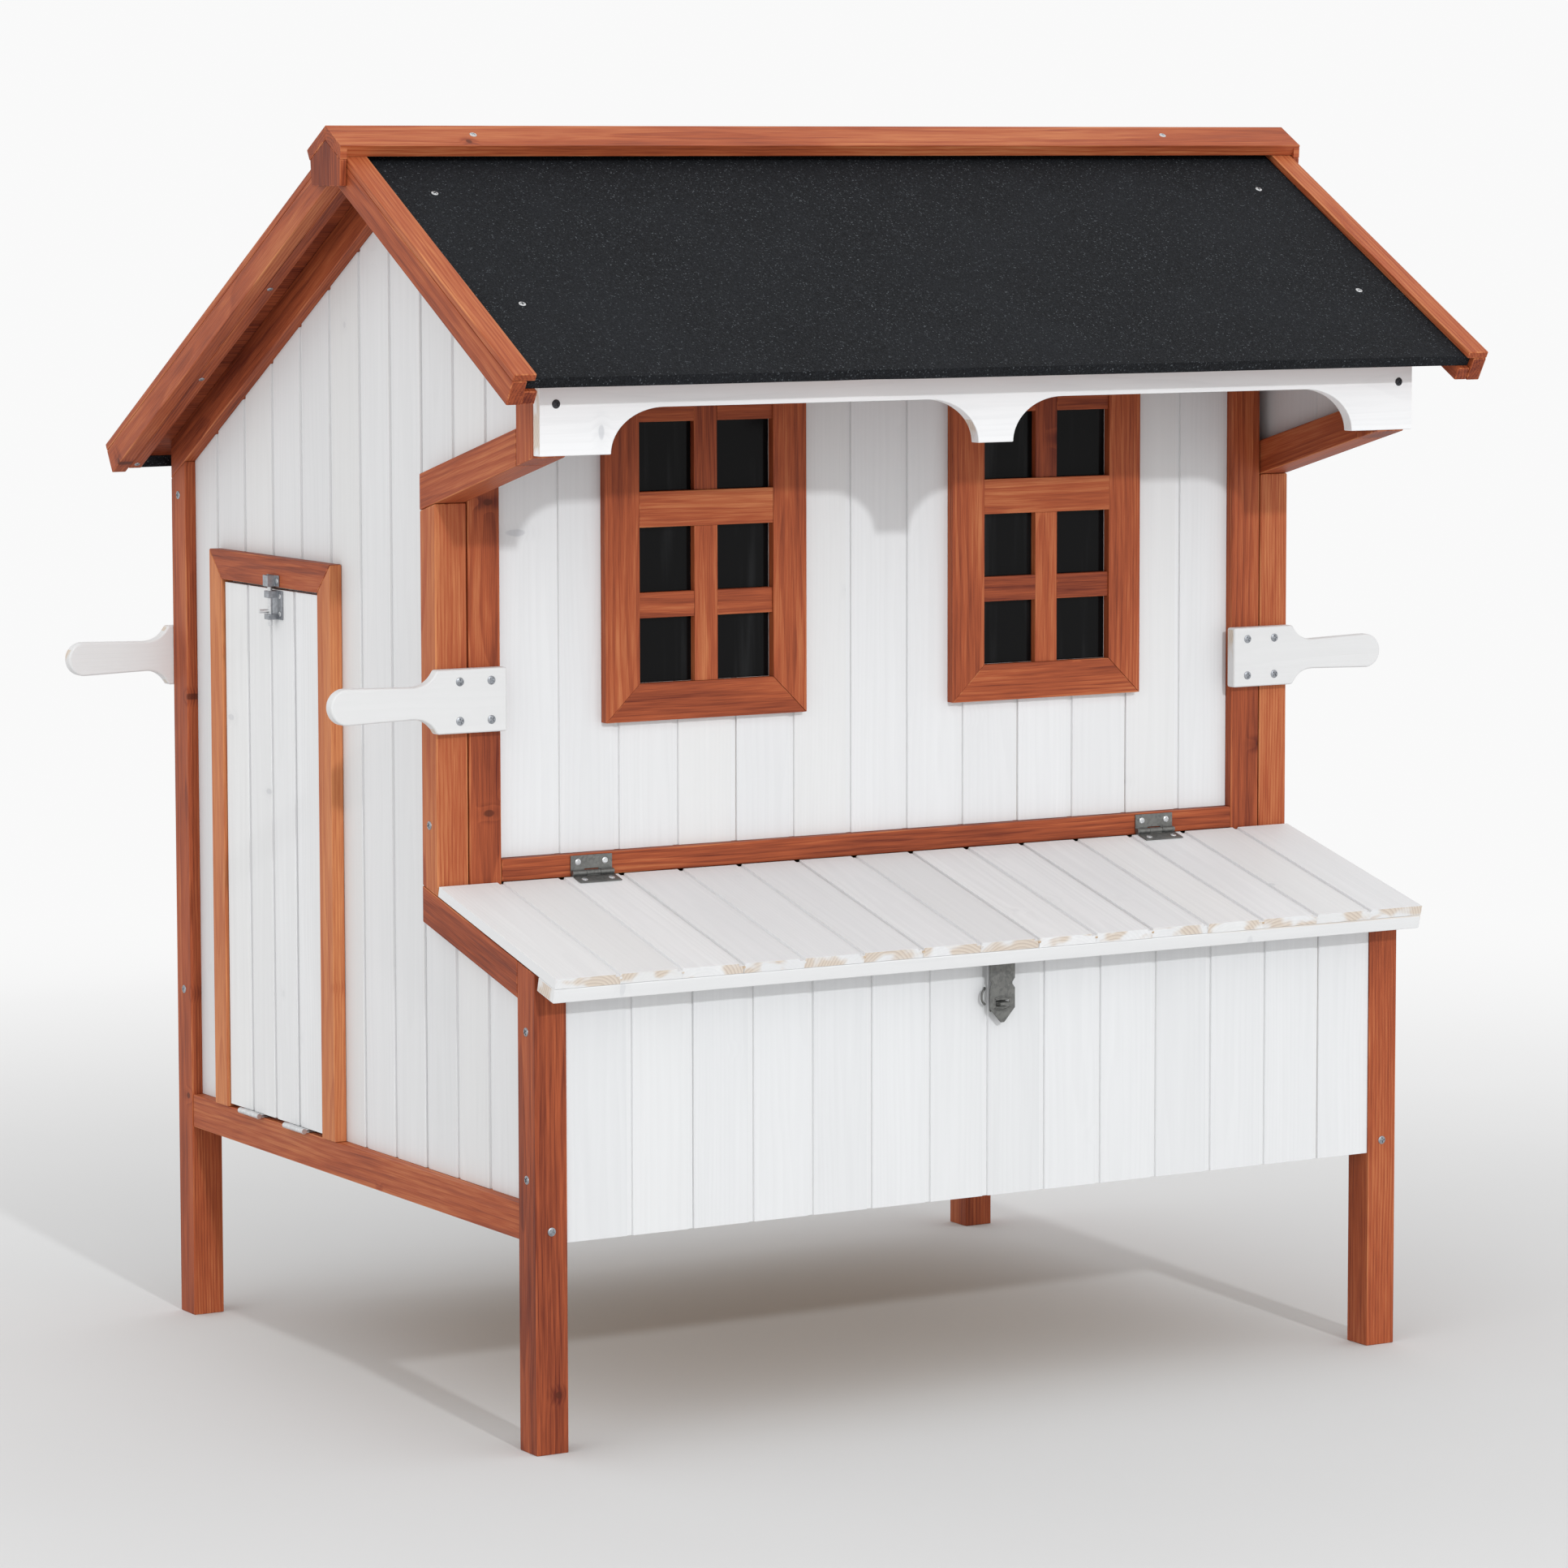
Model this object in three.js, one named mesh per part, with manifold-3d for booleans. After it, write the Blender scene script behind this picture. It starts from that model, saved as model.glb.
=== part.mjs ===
// A raised wooden cottage hutch: four legs, tongue-and-groove walls, a saltbox gable roof in
// mineral felt, two fixed windows, a nest box with a hinged lid, and a drop-down ramp door.
// Millimetres. X runs along the long front, +Y to the back, +Z up; the floor is Z = 0.

import * as THREE from 'three';
import { mergeVertices } from 'three/addons/utils/BufferGeometryUtils.js';
import Module from 'manifold-3d';

const wasm = await Module();
wasm.setup();

// ---------------------------------------------------------------- driving dimensions

const WIDTH = 1000;           // over the outer faces of the legs
const DEPTH = 800;            // over the front and back faces of the legs
const TIMBER = 34;            // square section of legs, stiles and braces
const GAP = 0.3;              // clearance left between touching pieces
const BOARD = 9;              // thickness of tongue-and-groove boards
const BOARD_PITCH = 66.5;     // covering width of one wall board
// The channel at each joint: its half widths at the face of the boards and at its bottom.
const GROOVE = { half: 3.4, floor: 2.8, depth: 2.2 };

const FLOOR_TOP = 236;        // top of the bottom side rails, which carry the floor
const RAIL_HEIGHT = 34.5;
const PORCH_Y = 196;          // front faces of the stiles that frame the front wall
const PORCH_PITCH = THREE.MathUtils.degToRad(14.5);   // slope of lid, nest rails and braces

const ROOF_PITCH = THREE.MathUtils.degToRad(30);
const RIDGE_Y = 298;          // the ridge stands nearer the front, so the back slope is longer
const RIDGE_Z = 1234;         // where the top faces of the rake boards would meet
const EAVE_FRONT_Y = -72;
const EAVE_BACK_Y = 844;
const RAKE_OVERHANG = 55;     // outer face of the rakes past the legs
const RAKE = { depth: 33, width: 15.7, lip: 8, lipDepth: 7.4, rafter: 14, rafterTop: 19.3 };
const FELT = { top: 8, thickness: 2, frontFold: 11, backFold: 23, setBack: 6 };
const DECK = { top: 10.3, bottom: 19 };
const RAFTER_SET_BACK = 1;
const GABLE_RAFTER_DEPTH = 33;

const LID = { frontY: -43, backY: 192.5, backZ: 519.3, thickness: 10, boards: 15 };
const LID_BATTEN = { depth: 33, thickness: 14 };
const LID_PIVOT = { y: 192, z: 522.6 };
const SILL = { top: 541, bottom: 519 };

const WINDOW = {
  width: 228, bottom: 667, top: 1091, centreX: 300, member: 38, thickness: 9.7,
  midBottom: 857, midTop: 892, mullion: 26, muntin: 25, barSetBack: 2, pane: 2.5,
};

const DOOR = { y0: 452, y1: 675, top: 785.7, member: 30, face: 1.5, boards: 4 };
const DOOR_FRAME = { outer: -1.5, inner: 11.7 };
const DOOR_PIVOT = { x: -3.8, z: 238 };
const DOOR_REVEAL = 10;       // how far the wall boards lap behind the door leaf as a stop

const HANDLE = {
  tipX: -118, endX: 70, shoulderX: -5, neckX: -31, height: 62, neck: 31, grip: 35, z: 698, thickness: 13,
};
const RIGHT_HANDLE_INSET = 6; // the right handles are screwed on a little further in
const VALANCE = {
  y0: -18, y1: -4.3, dropBottom: 942, bandBottom: 985, drop: 75, arc: 57, pendant: 40,
};
const HASP = { x: 515, width: 29, tipZ: 373, slotZ: 392 };
const BOLT = { y: 551, x: -5.8, rod: 2.4, bore: 2.8, clearance: 0.5 };

const TAN_ROOF = Math.tan(ROOF_PITCH);
const COS_ROOF = Math.cos(ROOF_PITCH);
const TAN_PORCH = Math.tan(PORCH_PITCH);
const COS_PORCH = Math.cos(PORCH_PITCH);
const ORIGIN_X = (WIDTH - RIGHT_HANDLE_INSET) / 2;
const ORIGIN_Y = (EAVE_FRONT_Y + EAVE_BACK_Y) / 2;

// ---------------------------------------------------------------- materials

const paint = (color, roughness, metalness = 0) =>
  () => new THREE.MeshStandardMaterial({ color, roughness, metalness });
const stained = paint(0xb5633c, 0.6);
const whitewash = paint(0xe6e7e8, 0.65);
const felt = paint(0x25282b, 0.95);
const plywood = paint(0xb98a5e, 0.8);
const zinc = paint(0x8a8c88, 0.4, 0.9);
const acrylic = paint(0x1b1e21, 0.12);

// ---------------------------------------------------------------- shape helpers

function toSolid(geometry) {
  const bare = geometry.index ? geometry.toNonIndexed() : geometry.clone();
  bare.deleteAttribute('normal');
  bare.deleteAttribute('uv');
  const merged = mergeVertices(bare, 1e-4);
  return new wasm.Manifold(new wasm.Mesh({
    numProp: 3,
    vertProperties: new Float32Array(merged.attributes.position.array),
    triVerts: new Uint32Array(merged.index.array),
  }));
}

function toGeometry(solid) {
  const mesh = solid.getMesh();
  const geometry = new THREE.BufferGeometry();
  geometry.setAttribute('position', new THREE.BufferAttribute(new Float32Array(mesh.vertProperties), 3));
  geometry.setIndex(new THREE.BufferAttribute(new Uint32Array(mesh.triVerts), 1));
  geometry.computeVertexNormals();
  return geometry;
}

const join = (first, ...rest) => rest.reduce((all, part) => all.add(toSolid(part)), toSolid(first));
const cut = (solid, ...tools) => tools.reduce((left, tool) => left.subtract(toSolid(tool)), solid);

function block(x0, x1, y0, y1, z0, z1) {
  const geometry = new THREE.BoxGeometry(x1 - x0, y1 - y0, z1 - z0);
  return geometry.translate((x0 + x1) / 2, (y0 + y1) / 2, (z0 + z1) / 2);
}

const outline = (points) => new THREE.Shape(points.map(([a, b]) => new THREE.Vector2(a, b)));
const asShape = (profile) => (profile instanceof THREE.Shape ? profile : outline(profile));

function extrude(profile, depth, xAxis, yAxis, zAxis) {
  const settings = { depth, bevelEnabled: false, curveSegments: 10 };
  const basis = new THREE.Matrix4().makeBasis(
    new THREE.Vector3(...xAxis), new THREE.Vector3(...yAxis), new THREE.Vector3(...zAxis));
  return new THREE.ExtrudeGeometry(asShape(profile), settings).applyMatrix4(basis);
}

// Profiles are drawn in (Y, Z), (X, Z) and (X, Y) and extruded along the remaining axis.
const [X, Y, Z, TO_FRONT] = [[1, 0, 0], [0, 1, 0], [0, 0, 1], [0, -1, 0]];
const alongX = (profile, x0, x1) => extrude(profile, x1 - x0, Y, Z, X).translate(x0, 0, 0);
const alongY = (profile, y0, y1) => extrude(profile, y1 - y0, X, Z, TO_FRONT).translate(0, y1, 0);
const alongZ = (profile, z0, z1) => extrude(profile, z1 - z0, X, Y, Z).translate(0, 0, z0);

function rodAlong(axis, radius, from, to, across, up, sides = 16) {
  const geometry = new THREE.CylinderGeometry(radius, radius, to - from, sides);
  const middle = (from + to) / 2;
  if (axis === 'x') return geometry.rotateZ(Math.PI / 2).translate(middle, across, up);
  if (axis === 'z') return geometry.rotateX(Math.PI / 2).translate(across, up, middle);
  return geometry.translate(across, middle, up);
}

// A row of boards seen end on: a strip with a shallow channel in its face at each joint, where the
// tongue of one board shows. side is +1 where the face looks towards lower values of the second axis.
function boardProfile(from, to, face, joints, side = 1) {
  const grooves = joints.filter((at) => at > from + GROOVE.half && at < to - GROOVE.half)
    .flatMap((at) => {
      const bottom = face + side * GROOVE.depth;
      return [[at - GROOVE.half, face], [at - GROOVE.floor, bottom], [at + GROOVE.floor, bottom],
        [at + GROOVE.half, face]];
    });
  return [[from, face], ...grooves, [to, face], [to, face + side * BOARD], [from, face + side * BOARD]];
}

function jointsAt(start, pitch, end) {
  const joints = [];
  for (let at = start; at < end; at += pitch) joints.push(at);
  return joints;
}

// ---------------------------------------------------------------- lines shared by several pieces

const rakeTop = (y) => RIDGE_Z - Math.abs(y - RIDGE_Y) * TAN_ROOF;
const below = (y, depth) => rakeTop(y) - depth / COS_ROOF;
const rafterLow = (y) => below(y, RAKE.rafterTop + GABLE_RAFTER_DEPTH);
const lidTop = (y) => LID.backZ - (LID.backY - y) * TAN_PORCH;
const lidUnder = (y) => lidTop(y) - LID.thickness / COS_PORCH;
const nestRailTop = (y) => lidUnder(y) - 1.5;
const nestRailLow = (y) => nestRailTop(y) - TIMBER / COS_PORCH;
const BRACE_BACK_Z = 880;
const STILE_BACK_Y = PORCH_Y + TIMBER - 2;
const braceLow = (y) => BRACE_BACK_Z + (STILE_BACK_Y - y) * TAN_PORCH;
const braceTop = (y) => braceLow(y) + TIMBER / COS_PORCH;

// ---------------------------------------------------------------- scene graph

const hutch = new THREE.Group();
hutch.position.set(-ORIGIN_X, -ORIGIN_Y, 0);

function add(name, shape, material, parent = hutch) {
  const geometry = shape instanceof THREE.BufferGeometry ? shape : toGeometry(shape);
  const mesh = new THREE.Mesh(geometry, material());
  mesh.name = name;
  parent.add(mesh);
  return mesh;
}

// Pieces of the two gable ends are drawn for the left and turned over for the right.
const SIDES = [
  { name: 'left', span: (x0, x1) => [x0, x1], at: (x) => x, out: 1 },
  { name: 'right', span: (x0, x1) => [WIDTH - x1, WIDTH - x0], at: (x) => WIDTH - x, out: -1 },
];

// ---------------------------------------------------------------- gable ends

const BOARD_FACE = 12;        // how far the wall boards sit behind the faces of the legs
const EAVE_BLOCK = { front: -4, back: 30 };

function gableOutline() {
  const front = TIMBER + GAP;
  const back = DEPTH - TIMBER - GAP;
  const behindStile = STILE_BACK_Y + GAP;
  const behindBlock = EAVE_BLOCK.back + GAP;
  return [
    [front, FLOOR_TOP + GAP], [back, FLOOR_TOP + GAP], [back, rafterLow(back) - GAP],
    [RIDGE_Y, rafterLow(RIDGE_Y) - GAP], [behindBlock, rafterLow(behindBlock) - GAP],
    [behindBlock, braceTop(behindBlock) + GAP], [behindStile, braceTop(behindStile) + GAP],
    [behindStile, nestRailLow(behindStile) - GAP], [front, nestRailLow(front) - GAP],
  ];
}

function gableBoards(side) {
  const joints = jointsAt(TIMBER + 12, BOARD_PITCH, DEPTH - TIMBER);
  const profile = boardProfile(TIMBER, DEPTH - TIMBER, side.at(BOARD_FACE), joints, side.out)
    .map(([y, x]) => [x, y]);
  const sheet = toSolid(alongZ(profile, FLOOR_TOP, RIDGE_Z));
  const [x0, x1] = side.span(0, TIMBER);
  return sheet.intersect(toSolid(alongX(gableOutline(), x0, x1)));
}

function doorway() {
  return block(0, TIMBER, DOOR.y0 + DOOR_REVEAL, DOOR.y1 - DOOR_REVEAL,
    FLOOR_TOP + DOOR_REVEAL, DOOR.top - DOOR_REVEAL);
}

for (const side of SIDES) {
  const [x0, x1] = side.span(0, TIMBER);
  const boards = gableBoards(side);
  add(`gable_boards_${side.name}`, side.name === 'left' ? cut(boards, doorway()) : boards, whitewash);

  const legBack = DEPTH - TIMBER;
  add(`back_leg_${side.name}`, alongX([
    [legBack, 0], [DEPTH, 0], [DEPTH, rafterLow(DEPTH) - GAP], [legBack, rafterLow(legBack) - GAP],
  ], x0, x1), stained);
  add(`front_leg_${side.name}`, alongX([
    [0, 0], [TIMBER, 0], [TIMBER, nestRailTop(TIMBER)], [0, nestRailTop(0)],
  ], x0, x1), stained);

  const [r0, r1] = side.span(1, 28);
  add(`bottom_rail_${side.name}`,
    block(r0, r1, TIMBER + GAP, legBack - GAP, FLOOR_TOP - RAIL_HEIGHT, FLOOR_TOP), stained);
  const railFront = TIMBER + GAP;
  add(`nest_rail_${side.name}`, alongX([
    [railFront, nestRailLow(railFront)], [STILE_BACK_Y, nestRailLow(STILE_BACK_Y)],
    [STILE_BACK_Y, nestRailTop(STILE_BACK_Y)], [railFront, nestRailTop(railFront)],
  ], x0, x1), stained);
  add(`porch_stile_${side.name}`, alongX([
    [PORCH_Y, nestRailTop(PORCH_Y) + GAP], [STILE_BACK_Y, nestRailTop(STILE_BACK_Y) + GAP],
    [STILE_BACK_Y, braceLow(STILE_BACK_Y) - GAP], [PORCH_Y, braceLow(PORCH_Y) - GAP],
  ], x0, x1), stained);

  const { front, back } = EAVE_BLOCK;
  add(`eave_bracket_${side.name}`, alongX([
    [front, braceLow(front)], [STILE_BACK_Y, braceLow(STILE_BACK_Y)],
    [STILE_BACK_Y, braceTop(STILE_BACK_Y)], [back, braceTop(back)],
    [back, rafterLow(back) - GAP], [front, rafterLow(front) - GAP],
  ], x0, x1), stained);

  const [g0, g1] = side.span(0, 20);
  const rafterTop = (y) => below(y, RAKE.rafterTop);
  add(`gable_rafters_${side.name}`, alongX([
    [front, rafterLow(front)], [RIDGE_Y, rafterLow(RIDGE_Y)], [DEPTH, rafterLow(DEPTH)],
    [DEPTH, rafterTop(DEPTH)], [RIDGE_Y, rafterTop(RIDGE_Y)], [front, rafterTop(front)],
  ], g0, g1), stained);
}

// ---------------------------------------------------------------- front wall and windows

const WALL_STILE = { inner: 70, back: PORCH_Y + TIMBER };
const WALL_FACE = PORCH_Y + 10;
const WALL_TOP = below(PORCH_Y, RAKE.rafterTop) - 1;
const WINDOW_CENTRES = [WINDOW.centreX, WIDTH - WINDOW.centreX];
const glassHalf = WINDOW.width / 2 - WINDOW.member;
const glassBottom = WINDOW.bottom + WINDOW.member - 1;
const glassTop = WINDOW.top - WINDOW.member;

function frontWall() {
  const joints = jointsAt(3.5, BOARD_PITCH, WIDTH);
  const from = WALL_STILE.inner + GAP;
  const sheet = alongZ(boardProfile(from, WIDTH - from, WALL_FACE, joints), SILL.top + GAP, WALL_TOP);
  const holes = WINDOW_CENTRES.map((x) =>
    block(x - glassHalf, x + glassHalf, PORCH_Y, PORCH_Y + TIMBER, glassBottom, glassTop));
  return cut(toSolid(sheet), ...holes);
}

add('front_wall_boards', frontWall(), whitewash);
for (const side of SIDES) {
  const [x0, x1] = side.span(TIMBER + GAP, WALL_STILE.inner);
  add(`wall_stile_${side.name}`,
    block(x0, x1, PORCH_Y, WALL_STILE.back, nestRailTop(PORCH_Y), WALL_TOP), stained);
}
add('sill_rail', block(WALL_STILE.inner + GAP, WIDTH - WALL_STILE.inner - GAP,
  PORCH_Y, WALL_STILE.back - 8, SILL.bottom, SILL.top), stained);

// The frame is a flat ring with a middle rail; thinner glazing bars cross each of its two lights.
function windowFrame(x) {
  const y1 = WALL_FACE - GAP;
  const y0 = y1 - WINDOW.thickness;
  const half = WINDOW.width / 2;
  const plate = block(x - half, x + half, y0, y1, WINDOW.bottom, WINDOW.top);
  const lights = [[glassBottom, WINDOW.midBottom], [WINDOW.midTop, glassTop]];
  const holes = lights.map(([z0, z1]) => block(x - glassHalf, x + glassHalf, y0 - 1, y1 + 1, z0, z1));
  const bars = lights.flatMap(([z0, z1]) => {
    const middle = (z0 + z1) / 2;
    const barFront = y0 + WINDOW.barSetBack;
    return [
      block(x - WINDOW.mullion / 2, x + WINDOW.mullion / 2, barFront, y1, z0 - 1, z1 + 1),
      block(x - glassHalf - 1, x + glassHalf + 1, barFront, y1,
        middle - WINDOW.muntin / 2, middle + WINDOW.muntin / 2),
    ];
  });
  return bars.reduce((frame, bar) => frame.add(toSolid(bar)), cut(toSolid(plate), ...holes));
}

WINDOW_CENTRES.forEach((x, index) => {
  const name = SIDES[index].name;
  add(`window_frame_${name}`, windowFrame(x), stained);
  add(`window_pane_${name}`, block(x - glassHalf + GAP, x + glassHalf - GAP, WALL_FACE,
    WALL_FACE + WINDOW.pane, glassBottom + GAP, glassTop - GAP), acrylic);
});

// ---------------------------------------------------------------- valance

// Half of the scalloped lower edge, drawn from the left drop to the central pendant.
function valanceShape() {
  const { dropBottom, bandBottom, drop, arc, pendant } = VALANCE;
  const rise = bandBottom - dropBottom;
  const middle = WIDTH / 2;
  const top = below(VALANCE.y0, RAKE.rafterTop) - 1;
  const shape = new THREE.Shape();
  shape.moveTo(0, dropBottom);
  shape.lineTo(drop, dropBottom);
  shape.absellipse(drop + arc, dropBottom, arc, rise, Math.PI, Math.PI / 2, true);
  const pendantEdge = middle - pendant / 2;
  shape.lineTo(pendantEdge - arc, bandBottom);
  shape.absellipse(pendantEdge - arc, dropBottom, arc, rise, Math.PI / 2, 0, true);
  shape.lineTo(middle + pendant / 2, dropBottom);
  shape.absellipse(middle + pendant / 2 + arc, dropBottom, arc, rise, Math.PI, Math.PI / 2, true);
  shape.lineTo(WIDTH - drop - arc, bandBottom);
  shape.absellipse(WIDTH - drop - arc, dropBottom, arc, rise, Math.PI / 2, 0, true);
  shape.lineTo(WIDTH, dropBottom);
  shape.lineTo(WIDTH, top);
  shape.lineTo(0, top);
  return shape;
}
add('valance', alongY(valanceShape(), VALANCE.y0, VALANCE.y1), whitewash);

// ---------------------------------------------------------------- floor, nest front and back wall

const NEST_FACE = 2;
const BACK_FACE = DEPTH - 10;

function floorPanel() {
  const x0 = BOARD_FACE + BOARD + 2 * GAP;
  const y0 = NEST_FACE + BOARD + GAP;
  const y1 = BACK_FACE - BOARD - GAP;
  const z1 = FLOOR_TOP + BOARD;
  const notches = [0, WIDTH - TIMBER - GAP].flatMap((x) =>
    [0, DEPTH - TIMBER - GAP].map((y) => block(x, x + TIMBER + GAP, y, y + TIMBER + GAP, 0, RIDGE_Z)));
  return cut(toSolid(block(x0, WIDTH - x0, y0, y1, FLOOR_TOP + GAP, z1)), ...notches);
}
add('floor_panel', floorPanel(), plywood);

const nestJoints = jointsAt(TIMBER + 2, BOARD_PITCH, WIDTH);
const betweenLegs = [TIMBER + GAP, WIDTH - TIMBER - GAP];
add('nest_front_boards', alongZ(boardProfile(...betweenLegs, NEST_FACE, nestJoints),
  FLOOR_TOP - RAIL_HEIGHT - 1, lidUnder(NEST_FACE) - 1.5), whitewash);
add('back_wall_boards', alongZ(boardProfile(...betweenLegs, BACK_FACE, nestJoints, -1),
  FLOOR_TOP - RAIL_HEIGHT - 1, below(BACK_FACE, RAKE.rafterTop) - 1), whitewash);

// ---------------------------------------------------------------- roof

// Each slope is a group hinged at the ridge. In it, y runs along the slope and z is its normal,
// so a depth under the rake's top face is a negative z. sign is +1 on the back slope.
const SLOPES = [
  { name: 'front', sign: -1, length: (RIDGE_Y - EAVE_FRONT_Y) / COS_ROOF, fold: FELT.frontFold },
  { name: 'back', sign: 1, length: (EAVE_BACK_Y - RIDGE_Y) / COS_ROOF, fold: FELT.backFold },
];

for (const { name, sign, length, fold } of SLOPES) {
  const slope = new THREE.Group();
  slope.position.set(0, RIDGE_Y, RIDGE_Z);
  slope.rotation.x = -sign * ROOF_PITCH;
  hutch.add(slope);

  // A strip between two depths, cut plumb at the ridge and square at the eave.
  const strip = (top, bottom, end, x0, x1) => alongX([
    [sign * (top * TAN_ROOF + GAP), -top], [sign * end, -top],
    [sign * end, -bottom], [sign * (bottom * TAN_ROOF + GAP), -bottom],
  ], x0, x1);

  const deckInset = RAKE_OVERHANG - RAKE.width - GAP;
  const feltEnd = length - FELT.setBack;
  const foldInner = feltEnd - FELT.thickness;
  add(`roof_deck_${name}`,
    strip(DECK.top, DECK.bottom, foldInner - GAP, -deckInset, WIDTH + deckInset), plywood);
  const feltBottom = FELT.top + FELT.thickness;
  const foldBottom = FELT.top + fold;
  add(`roof_felt_${name}`, alongX([
    [sign * (FELT.top * TAN_ROOF + GAP), -FELT.top], [sign * feltEnd, -FELT.top],
    [sign * feltEnd, -foldBottom], [sign * foldInner, -foldBottom],
    [sign * foldInner, -feltBottom], [sign * (feltBottom * TAN_ROOF + GAP), -feltBottom],
  ], -deckInset, WIDTH + deckInset), felt);

  // A deep fold hangs past the rafters, which then stop short of it.
  const rafterEnd = foldBottom > RAKE.rafterTop ? foldInner - GAP : length - RAFTER_SET_BACK;
  for (const side of SIDES) {
    const outer = -RAKE_OVERHANG;
    const inner = outer + RAKE.width;
    const face = side.span(outer, inner);
    const lip = side.span(outer, inner + RAKE.lip);
    const rafter = side.span(outer, inner + RAKE.rafter);
    add(`rake_${name}_${side.name}`, join(
      strip(0, RAKE.depth, length, ...face),
      strip(0, RAKE.lipDepth, length, ...lip),
      strip(RAKE.rafterTop, RAKE.depth, rafterEnd, ...rafter),
    ), stained, slope);
  }
  for (const board of ['roof_deck', 'roof_felt']) slope.add(hutch.getObjectByName(`${board}_${name}`));
}

// Two boards meet at the ridge; the back one laps the edge of the front one, so it reaches further.
// Under each end of the pair a plate closes the gap between the rakes.
function ridgeCap() {
  const thickness = 12;
  const front = 34;
  const back = 41;
  const plate = { top: 35, bottom: 31, low: RIDGE_Z - 44 };
  const end = 62.5;
  const under = RIDGE_Z + GAP;
  const apex = under + thickness / COS_ROOF;
  const faceAt = (reach) => apex - reach * TAN_ROOF;
  const inset = thickness * Math.sin(ROOF_PITCH);
  const edgeDrop = thickness * COS_ROOF;
  const cap = alongX([
    [RIDGE_Y, apex], [RIDGE_Y - front, faceAt(front)],
    [RIDGE_Y - front + inset, faceAt(front) - edgeDrop], [RIDGE_Y, under],
    [RIDGE_Y + back - inset, faceAt(back) - edgeDrop], [RIDGE_Y + back, faceAt(back)],
  ], -end, WIDTH + end);
  const plateTop = faceAt(plate.top) - 2;
  const plateOutline = [
    [RIDGE_Y, apex - 2], [RIDGE_Y - plate.top + 2, plateTop], [RIDGE_Y - plate.bottom, plate.low],
    [RIDGE_Y + plate.bottom, plate.low], [RIDGE_Y + plate.top, plateTop],
  ];
  const plateInner = RAKE_OVERHANG + GAP;
  return join(cap, alongX(plateOutline, -end, -plateInner),
    alongX(plateOutline, WIDTH + plateInner, WIDTH + end));
}
add('ridge_cap', ridgeCap(), stained);

// ---------------------------------------------------------------- carrying handles

function handleShape() {
  const { tipX, endX, shoulderX, neckX, height, neck, grip } = HANDLE;
  const radius = grip / 2;
  const shape = new THREE.Shape();
  shape.moveTo(endX, -height / 2);
  shape.lineTo(endX, height / 2);
  shape.lineTo(shoulderX, height / 2);
  shape.quadraticCurveTo(shoulderX - 8, neck / 2, neckX, neck / 2);
  shape.lineTo(tipX + radius, radius);
  shape.absarc(tipX + radius, 0, radius, Math.PI / 2, 1.5 * Math.PI, false);
  shape.lineTo(neckX, -neck / 2);
  shape.quadraticCurveTo(shoulderX - 8, -neck / 2, shoulderX, -height / 2);
  return shape;
}

const HANDLE_PLACES = [
  { row: 'front', y0: PORCH_Y - GAP - HANDLE.thickness },
  { row: 'back', y0: DEPTH + GAP },
];
for (const { row, y0 } of HANDLE_PLACES) {
  for (const side of SIDES) {
    const mesh = add(`handle_${row}_${side.name}`, alongY(handleShape(), 0, HANDLE.thickness), whitewash);
    mesh.position.set(0, y0, HANDLE.z);
    if (side.name === 'right') {
      mesh.rotation.z = Math.PI;
      mesh.position.set(WIDTH - RIGHT_HANDLE_INSET, y0 + HANDLE.thickness, HANDLE.z);
    }
  }
}

// ---------------------------------------------------------------- butt hinges

const HINGE = { width: 46, leaf: 15, thickness: 1.2, barrel: 3, pin: 1.3, bore: 1.6 };

// A hinge lies with its pin along X through the origin. The frame leaf stands up (+Z) and holds
// the two outer knuckles and the pin; the other leaf leaves along -Y and holds the middle one.
function hingeKnuckles(width) {
  const third = width / 6;
  return [[-width / 2, -third - GAP], [-third, third], [third + GAP, width / 2]];
}

function frameLeaf(width, leaf, offset) {
  const [first, , last] = hingeKnuckles(width);
  const half = width / 2;
  const plate = block(-half, half, offset, offset + HINGE.thickness, 0, leaf);
  const tongue = (span) => block(...span, 0, offset + HINGE.thickness, 0, HINGE.thickness);
  const gapForMiddle = block(-width / 6 - GAP, width / 6 + GAP, -leaf, leaf, -leaf, HINGE.barrel + 0.6);
  const pin = rodAlong('x', HINGE.pin, -half, half, 0, 0, 12);
  const barrels = [first, last].map((span) => rodAlong('x', HINGE.barrel, ...span, 0, 0, 16));
  const plates = cut(join(plate, tongue(first), tongue(last)), gapForMiddle);
  return [...barrels, pin].reduce((all, part) => all.add(toSolid(part)), plates);
}

function swingLeaf(width, leaf, offset) {
  const [, middle] = hingeKnuckles(width);
  const half = width / 2;
  const clear = HINGE.barrel + 0.6;
  const plate = block(-half, half, -leaf, -clear, -offset - HINGE.thickness, -offset);
  const tongue = block(...middle, -leaf, 0, -offset - HINGE.thickness, -offset);
  const barrel = rodAlong('x', HINGE.barrel, ...middle, 0, 0, 16);
  const bore = rodAlong('x', HINGE.bore, -width, width, 0, 0, 12);
  return cut(join(plate, tongue, barrel), bore);
}

const LEAF_OFFSET = 1.8;      // a leaf's near face from the pin's axis
const LID_HINGE_X = [168, 832];

LID_HINGE_X.forEach((x, index) => {
  const fixed = add(`lid_hinge_frame_${index + 1}`,
    frameLeaf(HINGE.width, HINGE.leaf + 2, PORCH_Y - GAP - LID_PIVOT.y - HINGE.thickness), zinc);
  fixed.position.set(x, LID_PIVOT.y, LID_PIVOT.z);
  const moving = add(`lid_hinge_leaf_${index + 1}`,
    swingLeaf(HINGE.width, HINGE.leaf + 4, LEAF_OFFSET), zinc);
  moving.position.copy(fixed.position);
  moving.rotation.x = PORCH_PITCH;
});

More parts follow.
